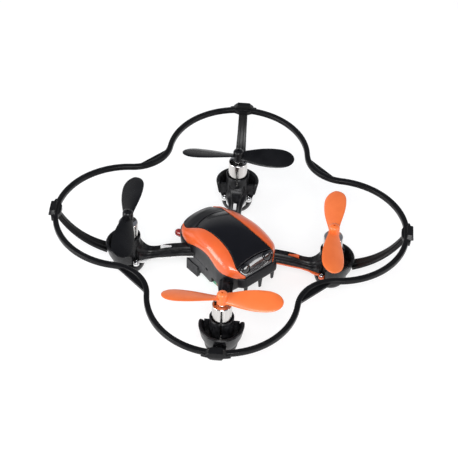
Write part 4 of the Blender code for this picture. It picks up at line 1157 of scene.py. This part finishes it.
def make_nose_peg(x):
    """Short tapered peg under the nose."""
    y = nose_front(0.0) - GAP - 0.75 + 0.014 * x * x
    root = rounded_rectangle((x - PEG_HALF_WIDTH, y - PEG_HALF_DEPTH),
            (x + PEG_HALF_WIDTH, y + PEG_HALF_DEPTH), 0.2, 3)
    tip = [(x + (px - x) * PEG_TAPER, y + (py - y) * PEG_TAPER, PEG_TIP_LEVEL) for px, py in root]
    return loft("peg", [tip, [(px, py, PEG_ROOT_LEVEL) for px, py in root]])


def battery_material():
    """Green wrap with a band of brown tape round its front end."""
    material, shader = new_material("battery wrap", (0.0, 0.25, 0.11), 0.3)
    shader.inputs["Coat Weight"].default_value = 0.6
    shader.inputs["Coat Roughness"].default_value = 0.12
    tree = material.node_tree
    place = tree.nodes.new("ShaderNodeTexCoord")
    parts = tree.nodes.new("ShaderNodeSeparateXYZ")
    tree.links.new(place.outputs["Object"], parts.inputs["Vector"])
    tape_end = (BATTERY_LOW.y + TAPE_WIDTH) * MM
    tape = ranged(tree, parts.outputs["Y"], 1.0, 0.0, tape_end - 0.0001, tape_end + 0.0001)
    cloud = ranged(tree, noise_node(tree, 260.0, 5.0), 0.0, 1.0)
    green = mixed(tree, cloud, (0.0, 0.22, 0.1), (0.0, 0.31, 0.14))
    brown = mixed(tree, cloud, (0.16, 0.085, 0.03), (0.24, 0.13, 0.05))
    tree.links.new(mixed(tree, tape, green, brown), shader.inputs["Base Color"])
    tree.links.new(ranged(tree, noise_node(tree, 500.0, 4.0), 0.22, 0.42), shader.inputs["Roughness"])
    bump(tree, shader, noise_node(tree, 700.0, 5.0, (1.0, 0.2, 1.0)), 0.25, 0.0001)
    return material


def finish_cad_nodes():
    """Materials for the CAD nodes that show as they are."""
    slots = {"canopy_shell": "gloss_black", "circuit_board": "board_green", "battery": None}
    for arm in ARMS:
        slots["motor_end_cap_" + arm] = "white"
        slots["motor_rotor_" + arm] = "copper"
    for name, slot in slots.items():
        node = frame["nodes"][name]
        node.data.materials.clear()
        node.data.materials.append(MATERIALS[slot] if slot else battery_material())
        if name == "battery":
            soften(node, 0.25, 40.0, 3)


# ---------------- stage, light and camera

FLOOR_LEVEL = -0.05  # just under the skids
FLOOR_REACH = 900.0
LIGHT_TARGET = (0.0, 0.0, 0.015)
LIGHTS = [  # name, place in metres, size in metres, power in watts
    ("key", (-0.36, -0.42, 0.6), (0.4, 0.3), 4.4),
    ("left_softbox", (-0.49, 0.22, 0.27), (0.34, 0.3), 2.4),
    ("front_softbox", (0.29, -0.47, 0.24), (0.2, 0.16), 0.7),
]
CAMERA_AZIMUTH = -41.735
CAMERA_ELEVATION = 43.88
CAMERA_ROLL = 1.776
CAMERA_DISTANCE = 0.55256
CAMERA_TARGET = (-0.004315, -0.003999, 0.0282)
SENSOR_WIDTH = 36.0
FIELD_ANGLE = 2 * math.atan(0.14656)


def make_stage():
    """Pale floor that glows a little, so that shadows on it stay faint, and a sky that is darker overhead."""
    material, shader = new_material("pale floor", (0.34, 0.34, 0.34), 0.8, Specular_IOR_Level=0.1)
    shader.inputs["Emission Color"].default_value = (1.0, 1.0, 1.0, 1.0)
    shader.inputs["Emission Strength"].default_value = 0.72
    tree = material.node_tree
    tree.links.new(ranged(tree, noise_node(tree, 12.0, 4.0), 0.7, 0.8), shader.inputs["Roughness"])
    corners = [(-1, -1), (1, -1), (1, 1), (-1, 1)]
    floor = new_object("floor", [(x * FLOOR_REACH, y * FLOOR_REACH, FLOOR_LEVEL) for x, y in corners],
            [(0, 1, 2, 3)])
    floor.data.materials.clear()
    floor.data.materials.append(material)
    world = bpy.data.worlds.new("soft_sky")
    bpy.context.scene.world = world
    bpy.context.scene.view_settings.view_transform = "Standard"
    world.use_nodes = True
    tree = world.node_tree
    direction = tree.nodes.new("ShaderNodeTexCoord")
    parts = tree.nodes.new("ShaderNodeSeparateXYZ")
    tree.links.new(direction.outputs["Generated"], parts.inputs["Vector"])
    height = ranged(tree, parts.outputs["Z"], 0.0, 1.0, 0.12, 0.62)
    colour = mixed(tree, height, (0.9, 0.9, 0.9), (0.2, 0.215, 0.25))
    tree.links.new(colour, tree.nodes["Background"].inputs["Color"])
    tree.nodes["Background"].inputs["Strength"].default_value = 1.0


def make_lights():
    for name, place, size, power in LIGHTS:
        light = bpy.data.lights.new(name, "AREA")
        light.shape = "RECTANGLE"
        light.size, light.size_y = size
        light.energy = power
        lamp = bpy.data.objects.new(name, light)
        lamp.location = place
        lamp.rotation_euler = (Vector(LIGHT_TARGET) - Vector(place)).to_track_quat("-Z", "Y").to_euler()
        bpy.context.scene.collection.objects.link(lamp)


def make_camera():
    azimuth, elevation, roll = (math.radians(a) for a in (CAMERA_AZIMUTH, CAMERA_ELEVATION, CAMERA_ROLL))
    back = Vector((math.sin(azimuth) * math.cos(elevation), -math.cos(azimuth) * math.cos(elevation),
            math.sin(elevation)))
    right = Vector((math.cos(azimuth), math.sin(azimuth), 0.0))
    up = back.cross(right)
    tilted_right = right * math.cos(roll) + up * math.sin(roll)
    tilted_up = up * math.cos(roll) - right * math.sin(roll)
    data = bpy.data.cameras.new("camera")
    data.sensor_width = SENSOR_WIDTH
    data.lens = SENSOR_WIDTH / 2 / math.tan(FIELD_ANGLE / 2)
    data.clip_start = 0.01
    camera = bpy.data.objects.new("camera", data)
    place = Matrix((tilted_right, tilted_up, back)).transposed().to_4x4()
    place.translation = Vector(CAMERA_TARGET) + back * CAMERA_DISTANCE
    camera.matrix_world = place
    bpy.context.scene.collection.objects.link(camera)
    bpy.context.scene.camera = camera


def main():
    make_camera()
    make_stage()
    make_lights()
    make_guard()
    make_hull()
    make_canopy()
    make_nose_bumper()
    make_tail_lights()
    for arm in ARMS:
        front = arm.startswith("front")
        make_arm(arm)
        make_arm_cover(arm, "orange" if front else "white")
        for side, hand in ((-1, "a"), (1, "b")):
            make_cover_screw(arm, side, hand)
        make_motor(arm)
        spin = 1 if arm in ("front_right", "rear_left") else -1
        colour, slot = ("prop_orange", "orange") if front else ("prop_black", "gloss_black")
        make_propeller(arm, colour, spin)
    finish_cad_nodes()


main()
